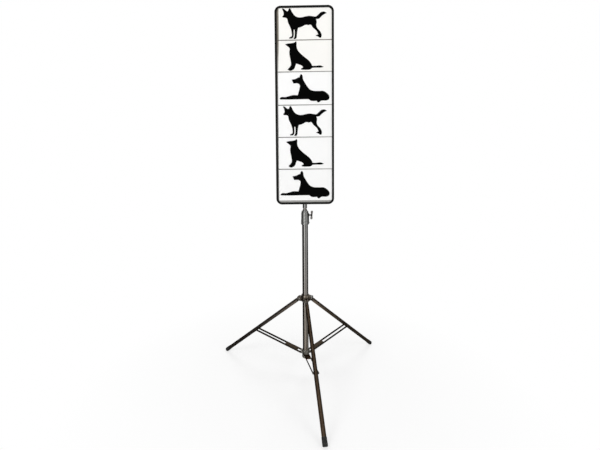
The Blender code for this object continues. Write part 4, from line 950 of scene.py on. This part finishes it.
# Figures: dogs cut from matt black film and stuck on the panels, drawn on squared paper about the
# middle of each panel. From the bottom they lie, sit and stand, twice over.
square = 0.00494
corner = "corner"
standing = (
    (-21.5, 14.4, corner), (-20.3, 14.6), (-18.2, 13.0), (-16.9, 12.2), (-15.8, 12.2), (-15.0, 14.1),
    (-14.2, 14.8), (-13.4, 14.3), (-11.9, 11.3), (-9.3, 7.9), (-6.4, 6.3), (-3.0, 6.0), (2.2, 7.0),
    (5.0, 7.3), (8.8, 6.8), (11.4, 6.6), (14.3, 8.8), (16.3, 10.5), (18.2, 11.1), (19.8, 11.1),
    (22.0, 9.8, corner), (19.2, 8.5), (17.3, 7.2), (15.5, 5.4), (13.9, 4.4), (11.6, 4.3, corner), (12.2, 1.4),
    (11.8, -1.4), (12.5, -3.8), (15.6, -7.7), (16.8, -10.2), (16.9, -12.2), (16.4, -13.6, corner),
    (15.3, -13.7), (13.6, -12.5), (11.3, -11.6, corner), (12.4, -10.9), (13.7, -10.4, corner), (12.4, -7.5),
    (8.5, -3.7), (6.3, -1.0), (4.9, -1.2), (4.0, -1.5), (2.2, -1.0), (-3.0, -3.1), (-6.0, -3.8, corner),
    (-6.7, -7.0), (-7.2, -10.6), (-7.6, -13.3), (-8.8, -14.5), (-10.6, -14.3, corner), (-9.6, -12.6),
    (-9.2, -6.4, corner), (-9.9, -5.4), (-10.4, -6.4, corner), (-10.5, -11.8), (-11.4, -13.6),
    (-14.8, -14.0, corner), (-14.3, -12.9), (-12.4, -12.0), (-12.2, -8.5), (-13.0, -4.7), (-15.7, 1.4),
    (-17.0, 5.5), (-18.6, 6.1), (-20.8, 6.1, corner), (-21.1, 7.1), (-20.1, 8.4), (-20.1, 11.2),
)
sitting = (
    (-18.7, 11.3, corner), (-16.6, 11.9), (-12.9, 12.3), (-9.8, 12.9), (-8.0, 14.2, corner), (-7.6, 12.5),
    (-7.6, 9.0), (-6.4, 5.5), (-3.5, 2.1), (0.4, -1.3), (4.2, -4.4), (6.5, -7.3), (7.6, -9.8, corner),
    (11.4, -9.8), (15.4, -9.5), (19.0, -10.8, corner), (16.4, -11.5), (11.4, -11.5), (7.6, -11.7, corner),
    (5.9, -13.0), (1.4, -13.5), (-3.1, -13.2, corner), (-3.1, -12.1), (-1.4, -11.1), (-2.2, -9.7),
    (-5.0, -8.3), (-8.0, -7.3, corner), (-8.8, -9.1), (-10.0, -12.1), (-11.8, -13.6), (-14.2, -14.2),
    (-16.6, -12.9, corner), (-14.6, -10.9), (-13.3, -8.9), (-13.4, -4.5), (-14.2, -0.5), (-14.7, 3.9),
    (-14.3, 7.1), (-15.0, 8.3), (-16.8, 9.7),
)
lying = (
    (-24.7, -9.5, corner), (-23.3, -8.4), (-19.2, -8.3), (-15.7, -7.5), (-11.7, -6.5),
    (-6.7, -6.7, corner), (-5.7, -3.1), (-4.8, 0.5), (-4.7, 3.3), (-6.1, 4.7), (-10.9, 4.9, corner),
    (-12.6, 8.6, corner), (-8.7, 9.3), (-6.3, 10.5), (-4.7, 10.9, corner), (-4.4, 12.5),
    (-3.3, 14.1, corner), (-2.1, 12.7), (-1.5, 9.1), (0.5, 5.3), (2.9, 1.5), (5.3, -1.1), (8.3, -2.4),
    (14.3, -2.8), (18.8, -2.9), (21.3, -4.3), (23.9, -6.9), (24.5, -9.1), (23.7, -11.1), (21.8, -12.0),
    (16.3, -12.3), (14.1, -13.7), (12.7, -13.5), (12.1, -12.3, corner), (6.3, -12.1), (4.1, -10.5, corner),
    (-22.0, -10.5), (-24.4, -10.2),
)
film, make = new_finish("black_film", Specular_IOR_Level=0.03)
lint = make.speckle(240.0, detail=6.0, roughness=0.75).held(0.62, 0.76)
skin = make.speckle(700.0, detail=2.0)
black = lint.blend((0.0012, 0.0012, 0.0012), (0.007, 0.007, 0.007))
feed(film, black, 0.46 + lint * 0.2, bump=skin, depth=0.00002)
for number in range(1, 7):
    drawing, pose = ((lying, "lying"), (sitting, "sitting"), (standing, "standing"))[(number - 1) % 3]
    curve = bpy.data.curves.new("figure", "CURVE")
    curve.dimensions = "2D"
    curve.fill_mode = "BOTH"
    curve.extrude = 0.0004
    curve.resolution_u = 10
    spline = curve.splines.new("BEZIER")
    spline.bezier_points.add(len(drawing) - 1)
    for point, drawn in zip(spline.bezier_points, drawing):
        point.co = (drawn[0] * square, drawn[1] * square, 0)
        kind = "VECTOR" if corner in drawn else "AUTO"
        point.handle_left_type = kind
        point.handle_right_type = kind
    spline.use_cyclic_u = True
    outline_object = bpy.data.objects.new("figure", curve)
    bpy.context.scene.collection.objects.link(outline_object)
    graph = bpy.context.evaluated_depsgraph_get()
    flat_mesh = bpy.data.meshes.new_from_object(outline_object.evaluated_get(graph))
    bpy.data.objects.remove(outline_object, do_unlink=True)
    cut_out = bmesh.new()
    cut_out.from_mesh(flat_mesh)
    bmesh.ops.remove_doubles(cut_out, verts=cut_out.verts, dist=0.000001)
    node = f"figure_{number}_{pose}"
    low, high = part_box(node)
    drawn_low = min(vert.co.y for vert in cut_out.verts)
    middle = column_axis.translation.x, (low.y + high.y) / 2, low.z - drawn_low
    moved(cut_out, shift(*middle) @ turn_about("X", 90))
    finished(f"film_{number}_{pose}", cut_out, film, "board", [node])
